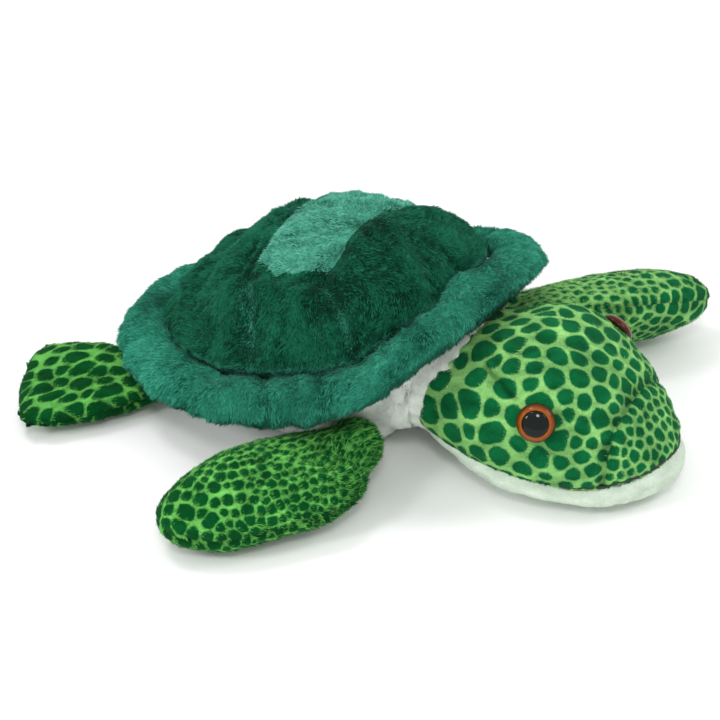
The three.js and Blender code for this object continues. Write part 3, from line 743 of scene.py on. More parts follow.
def print_group(name):
    """Ink of the print: 1 in a spot, 0 on its ground, with an edge frayed by the pile."""
    graph, given, made = group(name, {"Inside": 0.0, "Fray": 0.7}, {"Ink": "NodeSocketFloat"})
    frays = graph.texture("Noise", Scale=750.0, Detail=2.0)
    fray = graph.math("MULTIPLY", graph.math("SUBTRACT", frays.outputs["Fac"], 0.5), given["Fray"])
    graph.feed(made["Ink"], graph.ramp(graph.math("ADD", given["Inside"], fray), -0.42, 0.48))
    return graph.tree


def lit_pile(graph, shader, colour, contrast, bump, sheen, tint, hair=900.0):
    """A pile's colour, bump and low gloss, joined to the shader."""
    pile = place_group(graph, "Pile", pile_group)
    given = {"Hair Scale": hair, "Contrast": contrast, "Colour": colour, "Lock": graph.kept("pile"),
             "Shade": graph.kept("shade")}
    for key, value in given.items():
        graph.feed(pile.inputs[key], value)
    set_shader(
        graph, shader, Base_Color=pile.outputs["Colour"], Normal=graph.bump(pile.outputs["Height"], 0.6, bump),
        Roughness=0.95, Specular_IOR_Level=0.05, Sheen_Roughness=0.5, Sheen_Weight=sheen, Sheen_Tint=tint)


def shell_material(colours):
    """Long pile: light on the patch, dark round it, told apart by the cover's own mask."""
    material, graph, shader = new_material("turtle_shell")
    light = graph.ramp(graph.kept("patch"), 0.4, 0.6)
    base = graph.mix(light, colours.dark_shell, colours.light_shell)
    base = graph.mix(graph.kept("pale"), base, colours.fringe)
    contrast = graph.math("SUBTRACT", 2.1, graph.math("MULTIPLY", light, 0.5))
    lit_pile(graph, shader, base, contrast, 0.0005, 0.06, SHELL_SHEEN)
    return material


def pile_material(name, colour, contrast):
    """Pile of one colour, paler where its cover says so: painted light, with a random tone on the rim."""
    material, graph, shader = new_material(name)
    base = graph.mix(graph.kept("pale"), colour, [min(1.8 * c, 1) for c in colour])
    lit_pile(graph, shader, base, contrast, 0.0004, 0.06, SHELL_SHEEN)
    return material


def spotted_material(name, lime, spot):
    """Short pile printed with spots."""
    material, graph, shader = new_material(name)
    ink = place_group(graph, "Print", print_group)
    graph.feed(ink.inputs["Inside"], graph.kept("print"))
    lit_pile(graph, shader, graph.mix(ink.outputs["Ink"], lime, spot), 0.75, 0.0003, 0.05, PRINT_SHEEN, 1100.0)
    return material


def fibre_material():
    """Loose white fibre, made once for every fill."""
    if bpy.data.materials.get("turtle_fill"):
        return bpy.data.materials["turtle_fill"]
    material, graph, shader = new_material("turtle_fill")
    strands = graph.texture("Noise", Scale=260.0, Detail=4.0, Distortion=1.5).outputs["Fac"]
    set_shader(
        graph, shader, Base_Color=graph.mix(strands, (0.7, 0.7, 0.66), (0.95, 0.95, 0.92)),
        Normal=graph.bump(strands, 0.6, MM), Roughness=1)
    return material


def moulded_material(name, colour, roughness, edge=None):
    """Moulded plastic with a faint flow in its colour and gloss, and a second colour towards its edge."""
    material, graph, shader = new_material(name)
    flow = graph.texture("Noise", Scale=220.0, Detail=2.0).outputs["Fac"]
    tint = graph.mix(flow, [0.85 * c for c in colour], [min(1.15 * c, 1) for c in colour])
    if edge is not None:
        tint = graph.mix(graph.kept("edge"), tint, edge)
    gloss = graph.math("ADD", graph.math("MULTIPLY", flow, 0.02), roughness)
    set_shader(graph, shader, Base_Color=tint, Roughness=gloss, Specular_IOR_Level=0.22)
    return material


def thread_material(colour):
    """Shiny twisted thread."""
    material, graph, shader = new_material("mouth_thread")
    twist = graph.texture("Wave", bands_direction="DIAGONAL", Scale=900.0, Distortion=1.0).outputs["Fac"]
    set_shader(
        graph, shader, Base_Color=graph.mix(twist, [0.6 * c for c in colour], [1.8 * c for c in colour]),
        Normal=graph.bump(twist, 0.5, 0.0002), Roughness=0.5)
    return material


# Shapes that the covers share


def signed_power(value, power):
    return np.sign(value) * np.abs(value) ** power


def seam_outline(angle, grow=0.0):
    """Plan place of the rim seam at an angle, in metres."""
    c, s = np.cos(angle), np.sin(angle)
    power = np.where(c > 0, 2 / FRONT_SQUARENESS, 2 / REAR_SQUARENESS)
    reach = np.where(c > 0, SHELL_FRONT, SHELL_REAR) * MM + grow
    return np.stack([reach * signed_power(c, power), (SHELL_HALF_WIDTH * MM + grow) * signed_power(s, power)], -1)


def seam_height(x, y):
    """How high the seam between shell and rim runs, at plan places in metres."""
    along = (x / MM + SHELL_REAR) / (SHELL_FRONT + SHELL_REAR)
    return (SEAM_REAR_HEIGHT + (SEAM_FRONT_HEIGHT - SEAM_REAR_HEIGHT) * along
            - SEAM_SIDE_DROOP * (y / MM / SHELL_HALF_WIDTH) ** 2) * MM


def outline_angle(p):
    """The angle of the rim's outline that each plan place belongs to, from -pi to pi."""
    angles = np.radians(np.arange(-180, 180, 1.0))
    ring = seam_outline(angles)
    direction = np.arctan2(ring[:, 1], ring[:, 0])
    lead = (angles - direction + math.pi) % (2 * math.pi) - math.pi
    order = np.argsort(direction)
    here = np.arctan2(p[:, 1], p[:, 0])
    return here + np.interp(here, direction[order], lead[order], period=2 * math.pi)


def through(value, stops):
    """Runs through [place, value] stops."""
    return np.interp(value, *zip(*stops))


def tent(angle, stops):
    """A weight that runs through [degrees, weight] stops round the rim."""
    return np.interp(np.degrees(angle), *zip(*stops), period=360)


def settle(p):
    """Pushes the shell and rim the way that the stuffed toy has settled: in and up at its near front corner, and
    down at its rear."""
    angle = outline_angle(p)
    ring = seam_outline(angle)
    out = np.linalg.norm(p[:, :2], axis=1) / np.linalg.norm(ring, axis=1)
    inward = -unit(ring)
    above = (p[:, 2] - seam_height(ring[:, 0], ring[:, 1])) / MM
    ahead = p[:, 0] / MM
    edge = between(out, 0.75, 1) * 0.42 + between(out, 1, 1.3) * 0.58
    wall = np.where(out < 1.03, between(above, -34, -8), 1)
    near_corner = tent(angle, NEAR_CORNER) * edge * wall
    rear = tent(angle, REAR_EDGE) * edge * wall
    far_front = tent(angle, FAR_FRONT) * edge
    sag = tent(angle, SAG) * between(out, 1, 1.15) * between(above, 6, -6)
    move = np.zeros_like(p)
    move[:, :2] = inward * (NEAR_CORNER_IN * near_corner + REAR_IN * rear)[:, None]
    move[:, 2] = NEAR_CORNER_UP * near_corner - REAR_DOWN * rear + FAR_FRONT_UP * far_front - SAG_DOWN * sag
    back = between(ahead, -34, -50) * between(above, 0, 10) * (out < 1.1)
    move[:, 0] += BACK_AHEAD * back
    move[:, 2] -= BACK_SINK * np.maximum(above, 0) * back
    crown = between(np.abs(ahead - 6), 40, 26) * between(above, 0, 15) * (out < 1.1)
    move[:, 2] += (CROWN_UP + CREST_UP * near(ahead + 10, 14)) * crown
    return p + move * MM


def patch_front(y):
    """Where the front edge of the patch lies: further ahead on the far side."""
    return (PATCH_AHEAD + PATCH_SKEW * between(y / MM, 0, PATCH_HALF_WIDTH)) * MM


def shell_seams():
    """Corners of the light patch, and where the seams that leave them meet the rim."""
    corners = [(PATCH_AHEAD + PATCH_SKEW, PATCH_HALF_WIDTH), (PATCH_BEHIND, PATCH_HALF_WIDTH),
               (PATCH_BEHIND, -PATCH_HALF_WIDTH), (PATCH_AHEAD, -PATCH_HALF_WIDTH)]
    corners = np.array(corners) * MM
    angles = np.radians([CORNER_SEAM_FRONT, CORNER_SEAM_REAR, -CORNER_SEAM_REAR, -CORNER_SEAM_FRONT])
    ends = seam_outline(angles, 0.006)
    return corners, ends


class TURTLE_OT_torso(bpy.types.Operator):
    """Makes the belly and the five panels of the shell"""

    bl_idname = "turtle.torso"
    bl_label = "Belly and shell"

    def execute(self, context):
        sizes, colours = context.scene.turtle_sizes, context.scene.turtle_colours
        panels = ["shell_centre_patch", "shell_front_panel", "shell_left_panel", "shell_rear_panel",
                  "shell_right_panel"]
        form = make_form("torso_form", ["belly_cover", "torso_stuffing", *panels], sizes, levels=1, inset=0)
        p = points(form)
        above = p[:, 2] - seam_height(p[:, 0], p[:, 1])
        move_to(form, p - normals(form) * (CLOTH_IN + SHELL_IN * between(above, 0, 0.006))[:, None])
        # The shell's edge stands out into the rim
        p = points(form)
        flange = near(p[:, 2] - seam_height(p[:, 0], p[:, 1]), FLANGE_WIDTH)
        flange *= np.maximum(between(p[:, 0], 0.052, 0.048), 0.4)
        move_to(form, p + normals(form) * (FLANGE * flange)[:, None])
        # The lip of the collar turns in against the hood
        p = points(form)
        smooth(form, 10, (p[:, 0] > 0.046) & (p[:, 2] < COLLAR_TOP))
        p = points(form)
        lip = between(p[:, 0], 0.05, 0.058) * (p[:, 2] < COLLAR_TOP)
        offset = (p - NECK) * [0, 1, 1]
        move_to(form, p - unit(offset) * (LIP * lip)[:, None])
        corners, ends = shell_seams()
        p = points(form)
        above = p[:, 2] - seam_height(p[:, 0], p[:, 1])
        patch_gap = distance_to_path(p[:, :2], [*corners, np.array([PATCH_AHEAD, 0]) * MM, corners[0]])
        corner_gap = np.min([distance_to_path(p[:, :2], [c, e]) for c, e in zip(corners, ends)], axis=0)
        fold = [corners[1] * [1, 0.9] - [0.005, 0], corners[2] * [1, 0.9] - [0.005, 0]]
        fold_gap = distance_to_path(p[:, :2], fold)
        hold = np.maximum.reduce(
            [near(patch_gap, PATCH_SEAM), 0.8 * near(corner_gap, CORNER_SEAM), 0.8 * near(fold_gap, FOLD)])
        hold = hold * (above > -0.001)
        press(form, hold, SHELL_SEAM_DEPTH)
        # Painted shade along the seams, and where the rim's inner edge hides the cover
        hidden = between(above, -0.012, -0.008) * (above < -0.002)
        write(form, "shade", np.maximum(0.4 * hold * (patch_gap > 0.004) * (p[:, 0] > 0), 0.95 * hidden))
        p, n = points(form), normals(form)
        # The pile runs out and down from the ridge, and swirls
        out = np.stack([p[:, 0] - 0.012, 1.6 * p[:, 1], np.zeros(len(p))], -1)
        inside = (np.abs(p[:, 1]) < corners[0][1]) & (p[:, 0] > corners[2][0]) & (p[:, 0] < patch_front(p[:, 1]))
        rearward = np.stack([np.full(len(p), -0.5), np.sign(p[:, 1]) * 0.8, np.full(len(p), -0.2)], -1)
        along = np.where(inside[:, None], rearward, unit(out))
        along = swirl(along, p, n, 1.3, 0.022, 5)
        along = swirl(along, p, n, 0.6, 0.008, 6)
        relief(form, along, 0.00012 + 0.00045 * (above > -0.002), 0.005, 0.01, 11)
        rag = 0.0016 * soft_noise(p / 0.004, 21)
        rear_edge = through(p[:, 1] / MM, PATCH_REAR_EDGE) * MM
        side_edge = through(p[:, 0] / MM, PATCH_SIDE_EDGE) * MM
        depth_in = np.minimum.reduce(
            [p[:, 0] - rear_edge, patch_front(p[:, 1]) - p[:, 0], side_edge - np.abs(p[:, 1])])
        write(form, "patch", between(depth_in + rag, -0.001, 0.001) * (above > 0))
        rear_seams = np.min([distance_to_path(p[:, :2], [corners[k], ends[k]]) for k in (1, 2)], axis=0)
        front_seams = np.min([distance_to_path(p[:, :2], [corners[k], ends[k]]) for k in (0, 3)], axis=0)
        ragged = 0.5 + 0.5 * soft_noise(p / 0.003, 23)
        fringe = 1.2 * ragged * near(rear_seams - 0.0012, 0.0012) + 1.3 * near(front_seams, 0.0008)
        fringe = np.clip(fringe, 0, 1) * (above > 0.004) * (patch_gap > 0.001)
        # Pale fringe along the seams; lower down the cover is painted paler, a painted light on the white belly
        write(form, "pale", np.where(above > 0.002, fringe, 0.5))
        tuft = near(np.linalg.norm(p - TUFT, axis=1), 0.006)
        write(form, "stretch", 1 + 1.6 * tuft - 0.45 * hold)
        labels = self.panel_of(face_centres(form), corners, ends)
        move_to(form, settle(points(form)))
        names = ["belly_plush", "centre_patch_plush", "front_panel_plush", "left_panel_plush", "rear_panel_plush",
                 "right_panel_plush"]
        parts = part_by_face(form, labels, names)
        make_fill("torso_fill", "torso_stuffing", "torso", 0.003, self.settled_fill)
        shell = shell_material(colours)
        white = pile_material("turtle_white", colours.white, 0.22)
        finish_cover(parts["belly_plush"], "torso", ["belly_cover"], white, sizes, TORSO_SEED,
                     traits=("pale", "shade"))
        for seed, (name, panel) in enumerate(zip(names[1:], panels)):
            finish_cover(parts[name], "torso", [panel], shell, sizes, TORSO_SEED + 1 + seed, True,
                         traits=("patch", "pale", "shade"))
        return {"FINISHED"}

    def settled_fill(self, p):
        """The fill settles as its covers do, and stays behind the lip of the collar."""
        p = settle(p)
        ahead = np.maximum(p[:, 0] - 0.048, 0) * (p[:, 2] < 0.066)
        p[:, 0] -= 0.6 * ahead
        return p

    def panel_of(self, c, corners, ends):
        """0 for the belly, then the patch, front, left, rear and right panels."""
        above = c[:, 2] > seam_height(c[:, 0], c[:, 1]) - np.where(c[:, 0] < 0.05, 0.007, 0.003)
        x0, y1 = corners[2][0], corners[0][1]
        x1 = patch_front(c[:, 1])
        inside = (np.abs(c[:, 1]) < y1) & (c[:, 0] > x0) & (c[:, 0] < x1)

        def ahead_of(left, right):
            corner_x, end_x = (np.where(c[:, 1] > 0, there[left][0], there[right][0]) for there in (corners, ends))
            share = (np.abs(c[:, 1]) - y1) / (abs(ends[left][1]) - y1)
            return c[:, 0] > corner_x + share * (end_x - corner_x)

        front = ahead_of(0, 3)
        rear = ~ahead_of(1, 2)
        labels = np.where(c[:, 1] > 0, 3, 5)
        labels = np.where(front, 2, np.where(rear, 4, labels))
        labels = np.where((np.abs(c[:, 1]) < y1) & (c[:, 0] >= x1), 2, labels)
        labels = np.where((np.abs(c[:, 1]) < y1) & (c[:, 0] <= x0), 4, labels)
        labels = np.where(inside, 1, labels)
        return np.where(above, labels, 0)


class TURTLE_OT_rim(bpy.types.Operator):
    """Makes the padded rim of the shell from its four strips"""

    bl_idname = "turtle.rim"
    bl_label = "Shell rim"

    def execute(self, context):
        sizes, colours = context.scene.turtle_sizes, context.scene.turtle_colours
        strips = ["front", "left", "rear", "right"]
        nodes = [f"rim_{strip}_cover" for strip in strips]
        form = make_form("rim_form", [*nodes, "rim_stuffing"], sizes, levels=1, inset=0.0014)
        p = points(form)
        angle = outline_angle(p)
        ring = seam_outline(angle)
        reach = np.linalg.norm(p[:, :2], axis=1) - np.linalg.norm(ring, axis=1)
        inward = unit(-ring)
        # The upper inner edge is laid up against the shell, in soft waves
        inner = between(reach, 0.012, 0.001)
        inner = inner * inner * (3 - 2 * inner)
        upper = between(p[:, 2] - seam_height(ring[:, 0], ring[:, 1]), -0.001, 0.003)
        wave = 1 + 0.35 * np.sin(11 * angle + 1) * (np.cos(angle) < 0.3)
        degrees = np.degrees(angle)
        roll = near(degrees + 128, 15) + 0.6 * near(degrees - 170, 16)
        shove = inner * upper * wave
        p[:, :2] += inward * ((RIM_IN + RIM_REAR_IN * (np.cos(angle) < -0.6)) * shove)[:, None]
        p[:, 2] += RIM_UP * shove + RIM_ROLL_UP * roll * inner * upper
        # Its inner face closes onto the shell
        face = between(reach, 0.006, 0.001)
        closing = (near(degrees + 157, 16) + near(degrees + 22, 30)) * face
        p[:, :2] += inward * (RIM_CLOSE * face + RIM_CLOSE * closing)[:, None]
        move_to(form, settle(p))

        def bar(turn, width):
            gap = np.abs((degrees - turn + 180) % 360 - 180) * RIM_DEGREE
            return near(gap, width)

        joins = [RIM_FRONT_JOIN, RIM_REAR_JOIN, 360 - RIM_REAR_JOIN, 360 - RIM_FRONT_JOIN]
        hold = np.maximum.reduce([0.5 * bar(turn, 0.002) for turn in joins])
        for turn, strength, width in PUCKERS:
            hold = np.maximum(hold, strength * bar(turn, width) * (0.25 + 0.75 * inner))
        # A seam never draws the rim away from the shell
        facing = between(np.sum(normals(form)[:, :2] * inward, axis=1), 0, 0.5)
        hold = hold * (1 - facing * (reach < 0.008))
        press(form, hold, PUCKER_DEPTH)
        # Painted shade: in the joins and puckers, on the underside (more along the front) and in a crease at its rear
        front_edge = tent(angle, WHERE_FRONT_RIM_SHOWS_UNDER)
        under = between(0.1 + 0.28 * front_edge - normals(form)[:, 2], 0, 0.5) * (1 + 0.2 * front_edge)
        crease = 0.9 * near(degrees + 167, 8) * between(reach, 0.016, 0.004)
        write(form, "shade", np.clip(np.maximum.reduce([0.3 * hold, 0.6 * under, crease]), 0, 0.7))
        p, n = points(form), normals(form)
        slope = seam_outline(angle + 0.01, 0.012) - seam_outline(angle - 0.01, 0.012)
        out = unit(np.stack([slope[:, 1], -slope[:, 0], np.zeros(len(p))], -1))
        out[:, 2] = -0.3
        sideways = between(degrees, -75, -55) * between(degrees, 20, 0)
        out += np.stack([out[:, 1], -out[:, 0], np.zeros(len(p))], -1) * (1.6 * sideways)[:, None]
        along = swirl(out, p, n, 0.7, 0.035, 31)
        along = swirl(along, p, n, 0.3, 0.01, 32)
        relief(form, along, 0.0005, 0.005, 0.014, 41)
        # Painted light: paler from about 10 to 55 degrees round the rim, past the parting, and about -128 degrees,
        # over a random tone
        front = between(degrees, 6, 10) * between(degrees, 75, 55)
        low = near(degrees + 128, 42)
        write(form, "pale", np.clip(0.08 * front + 0.22 * low + 0.12 * soft_noise(p / 0.02, 44) + 0.05, 0, 1))
        turn = degrees[face_corners(form)[:, 0]] % 360
        labels = np.select(
            [(turn < RIM_FRONT_JOIN) | (turn >= 360 - RIM_FRONT_JOIN), turn < RIM_REAR_JOIN,
             turn < 360 - RIM_REAR_JOIN], [0, 1, 2], 3)
        names = [f"rim_{strip}_plush" for strip in strips]
        parts = part_by_face(form, labels, names)
        make_fill("rim_fill", "rim_stuffing", "torso", 0.0038, settle)
        material = pile_material("turtle_rim", colours.rim, 1.5)
        for seed, (name, covered) in enumerate(zip(names, nodes)):
            finish_cover(parts[name], "torso", [covered], material, sizes, RIM_SEED + seed, True,
                         traits=("pale", "shade"))
        return {"FINISHED"}


class TURTLE_OT_head(bpy.types.Operator):
    """Makes the hood, the snout and the chin"""

    bl_idname = "turtle.head"
    bl_label = "Head"

    def execute(self, context):
        sizes, colours = context.scene.turtle_sizes, context.scene.turtle_colours
        covers = ["head_hood_cover", "snout_cover", "chin_cover"]
        form = make_form("head_form", [*covers, "head_stuffing"], sizes)
        p = points(form)
        x = p[:, 0] - NECK[0]
        seam_z = chin_height(x)
        above = p[:, 2] > seam_z
        chin_hold = near(np.abs(p[:, 2] - seam_z), 0.0024)
        snout_hold = above * near(np.abs(x - SNOUT_SEAM * MM), 0.0016)
        folded = p.copy()
        folded[:, 1] = np.abs(p[:, 1])
        dart_hold = 0.9 * near(distance_to_path(folded, CHEEK_DART), 0.0012)
        press(form, np.maximum.reduce([0.7 * chin_hold, snout_hold, dart_hold]), HEAD_SEAM_DEPTH)
        # The chin is full below its seam
        p = points(form)
        x = (p[:, 0] - NECK[0]) / MM
        drop = np.clip(p[:, 2] / chin_height(p[:, 0] - NECK[0]), 0, 1)
        full = 4 * drop * (1 - drop) * between(drop, 0, 0.25) * between(x, 5, 30)
        outward = unit((p - HEAD_MIDDLE) * [0.35, 1, 0])
        move_to(form, p + outward * ((CHIN_FULL - SNOUT_LACK * between(x, 66, 84)) * full)[:, None])
        for side in ("left", "right"):
            middle, _ = eye_frame(side)
            press(form, near(np.linalg.norm(points(form) - np.array(middle), axis=1), 0.011), SOCKET_DEPTH)
        # Painted shade in the seams of the chin and snout and in the cheek darts
        write(form, "shade", np.clip(0.3 * chin_hold * above + 0.6 * snout_hold + 0.8 * dart_hold, 0, 0.8))
        p, n = points(form), normals(form)
        back = np.tile([-1.0, 0, -0.15], (len(p), 1))
        along = swirl(back, p, n, 0.9, 0.018, 51)
        relief(form, along, 0.0002, 0.003, 0.006, 61)
        x = (p[:, 0] - NECK[0]) / MM
        high = between(p[:, 2] - chin_height(p[:, 0] - NECK[0]), 0, 0.012)
        pitch = through(x, HEAD_PITCH) * (0.72 + 0.28 * high) * MM
        write(form, "stretch", np.full(len(p), 0.75))
        keep_print(form, pitch, 0.00036, 0.51, 71, apart=0.2 * (x > SNOUT_SEAM))
        c = face_centres(form)
        cx = c[:, 0] - NECK[0]
        labels = np.where(c[:, 2] < chin_height(cx), 2, np.where(cx > SNOUT_SEAM * MM, 1, 0))
        names = ["hood_plush", "snout_plush", "chin_plush"]
        parts = part_by_face(form, labels, names)
        make_fill("head_fill", "head_stuffing", "head", 0.0015, self.clear_of_sleeve)
        spotted = spotted_material("turtle_print", colours.lime, colours.spot)
        white = bpy.data.materials["turtle_white"]
        for seed, (name, covered) in enumerate(zip(names, covers)):
            if covered == "chin_cover":
                finish_cover(parts[name], "head", [covered], white, sizes, HEAD_SEED + seed)
            else:
                finish_cover(parts[name], "head", [covered], spotted, sizes, HEAD_SEED + seed,
                             traits=("print", "shade"), fray=0.14)
        return {"FINISHED"}

    def clear_of_sleeve(self, p):
        """The fill stops short of the sleeve of the neck."""
        p[:, 0] += 0.6 * np.maximum(0.08 - p[:, 0], 0)
        return p


def chin_height(x):
    """Height of the seam between the print and the white chin, so far ahead of the neck joint."""
    return NECK[2] - np.interp(x / MM, *zip(*CHIN_SEAM)) * MM


def eye_frame(side):
    """Middle of an eye's back, and the way that it faces, from its ring."""
    ring = points(frame["nodes"][f"{side}_eye_iris_ring"])
    middle = (ring.max(0) + ring.min(0)) / 2
    _, _, axes = np.linalg.svd(ring - ring.mean(0), full_matrices=False)
    out = axes[2]
    if (middle - HEAD_MIDDLE) @ out < 0:
        out = -out
    along = (ring - middle) @ out
    return Vector(middle + out * along.min()), Vector(out)


def turned_piece(name, profile, place, out, segments=64):
    """A piece spun from [radius, height] points in millimetres, set on the eye's axis."""
    radius, height = profile[0]
    bpy.ops.mesh.primitive_circle_add(vertices=segments, radius=radius * MM, location=(0, 0, height * MM))
    piece = bpy.context.object
    bpy.ops.object.transform_apply(location=True)
    with editing(piece):
        for (r0, z0), (r1, z1) in zip(profile[:-1], profile[1:]):
            bpy.ops.mesh.extrude_region_move(TRANSFORM_OT_translate={"value": (0, 0, (z1 - z0) * MM)})
            share = r1 / r0
            bpy.ops.transform.resize(value=(share, share, 1), center_override=(0, 0, z1 * MM))
        bpy.ops.mesh.select_all(action="SELECT")
        bpy.ops.mesh.remove_doubles(threshold=0.000001)
        bpy.ops.mesh.normals_make_consistent(inside=False)
    piece.name = piece.data.name = name
    piece.rotation_mode = "QUATERNION"
    piece.rotation_quaternion = Vector((0, 0, 1)).rotation_difference(out)
    piece.location = place
    select_only(piece)
    bpy.ops.object.transform_apply(location=True, rotation=True, scale=True)
    bpy.ops.object.shade_smooth()
    return piece


def domed(radii):
    """Points of the eye's dome at these radii."""
    return [(r, EYE_EDGE + (EYE_DEPTH - EYE_EDGE) * math.sqrt(1 - (r / EYE_RADIUS) ** 2)) for r in radii]


class TURTLE_OT_neck(bpy.types.Operator):
    """Sews the white sleeve that joins the collar to the head"""

    bl_idname = "turtle.neck"
    bl_label = "Neck"

    def execute(self, context):
        sizes = context.scene.turtle_sizes
        collar = self.ring_of([bpy.data.objects["belly_plush"]], 0.052, 0.058)
        head = self.ring_of([bpy.data.objects["hood_plush"], bpy.data.objects["chin_plush"]], 0.066, 0.072)
        bpy.ops.mesh.primitive_circle_add(vertices=120, radius=0.03, rotation=(0, math.pi / 2, 0))
        sleeve = context.object
        sleeve.name = sleeve.data.name = "neck_plush"
        bpy.ops.object.transform_apply(location=True, rotation=True)
        step = (SLEEVE_LENGTH / SLEEVE_RINGS, 0, 0)
        with editing(sleeve):
            for _ in range(SLEEVE_RINGS):
                bpy.ops.mesh.extrude_region_move(TRANSFORM_OT_translate={"value": step})
        p = points(sleeve)
        share = p[:, 0] / SLEEVE_LENGTH
        turn = np.arctan2(p[:, 2], p[:, 1])
        near_end, far_end = np.interp(turn, *collar) - 0.0022, np.interp(turn, *head) - 0.0006
        reach = near_end + (far_end - near_end) * share - 0.0016 * np.sin(math.pi * share)
        place = np.stack([SLEEVE_START + p[:, 0], reach * np.cos(turn), reach * np.sin(turn)], -1)
        move_to(sleeve, place + [0, 0, NECK[2]])
        # Extrude makes its faces in another order each time, and the pile is drawn face by face
        with editing(sleeve):
            bpy.ops.mesh.sort_elements(type="CURSOR_DISTANCE", elements={"VERT", "EDGE", "FACE"})
        refine(sleeve, 2)
        if np.sum(normals(sleeve) * (points(sleeve) - [0.06, 0, NECK[2]])) < 0:
            with editing(sleeve):
                bpy.ops.mesh.flip_normals()
        p, n = points(sleeve), normals(sleeve)
        # Painted shade where the sleeve goes into the collar, and the sleeve painted paler all over, a painted light
        write(sleeve, "shade", 0.5 * between(p[:, 0], 0.056, 0.053))
        write(sleeve, "pale", np.full(len(p), 0.45))
        along = swirl(np.tile([-1.0, 0, -0.3], (len(p), 1)), p, n, 0.8, 0.015, 55)
        relief(sleeve, along, 0.0002, 0.003, 0.006, 56)
        white = bpy.data.materials["turtle_white"]
        finish_cover(sleeve, "torso", [], white, sizes, NECK_SEED, traits=("pale", "shade"),
                     joint=("neck", 0.056, 0.069))
        return {"FINISHED"}

    def ring_of(self, covers, start, end):
        """How far the covers reach from the neck's axis, turn by turn, between two places along it."""
        p = np.concatenate([points(cover) for cover in covers])
        p = p[(p[:, 0] > start) & (p[:, 0] < end)] - [0, 0, NECK[2]]
        turn = np.arctan2(p[:, 2], p[:, 1])
        reach = np.linalg.norm(p[:, 1:], axis=1)
        turns = np.radians(np.arange(-180, 181, 6))
        found = []
        for centre in turns:
            here = reach[np.abs((turn - centre + math.pi) % (2 * math.pi) - math.pi) < 0.07]
            found.append(np.quantile(here, 0.8) if len(here) else np.nan)
        found = np.array(found)
        known = ~np.isnan(found)
        found = np.interp(turns, turns[known], found[known])
        for _ in range(4):
            found = (np.roll(found[:-1], 1) + 2 * found[:-1] + np.roll(found[:-1], -1)) / 4
            found = np.append(found, found[0])
        return turns, found


class TURTLE_OT_eyes(bpy.types.Operator):
    """Makes the safety eyes: an amber ring round a black pupil"""

    bl_idname = "turtle.eyes"
    bl_label = "Eyes"

    def execute(self, context):
        colours = context.scene.turtle_colours
        amber = moulded_material("turtle_iris", colours.amber, 0.08, edge=colours.amber_edge)
        black = moulded_material("turtle_pupil", colours.pupil, 0.04)
        for side in ("left", "right"):
            back, out = eye_frame(side)
            rings = [(5.5, 0.3), (7.7, 0.2), (EYE_RADIUS, 0.4), (EYE_RADIUS, EYE_EDGE), *domed(IRIS_RADII)]
            iris = turned_piece(f"{side}_iris", [*rings, (5.42, 3.9), (5.42, 0.3)], back, out)
            across = points(iris) - np.array(back)
            height = across @ np.array(out)
            radius = np.linalg.norm(across - np.outer(height, np.array(out)), axis=1) / MM
            write(iris, "edge", between(radius, 6.2, 7.7))
            iris.data.materials.append(amber)
            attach(iris, "head")
            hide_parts(f"{side}_eye_iris_ring")
            pupil = turned_piece(f"{side}_pupil", [*SHANK, *domed(PUPIL_RADII)], back, out)
            pupil.data.materials.append(black)
            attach(pupil, "head")
            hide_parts(f"{side}_eye_pupil_and_shank")
        return {"FINISHED"}


def limb_axes(limb):
    """Root, and the way a flipper points, leads and faces, from its angles."""
    side = limb["side"]
    angles = -side * limb["twist"], limb["droop"], side * (90 + limb["sweep"])
    twist, droop, sweep = (math.radians(angle) for angle in angles)
    rx = np.array([[1, 0, 0], [0, math.cos(twist), -math.sin(twist)], [0, math.sin(twist), math.cos(twist)]])
    ry = np.array([[math.cos(droop), 0, math.sin(droop)], [0, 1, 0], [-math.sin(droop), 0, math.cos(droop)]])
    rz = np.array([[math.cos(sweep), -math.sin(sweep), 0], [math.sin(sweep), math.cos(sweep), 0], [0, 0, 1]])
    turn = rz @ ry @ rx
    return np.array(limb["root"]) * MM, turn[:, 0], -side * turn[:, 1], turn[:, 2]


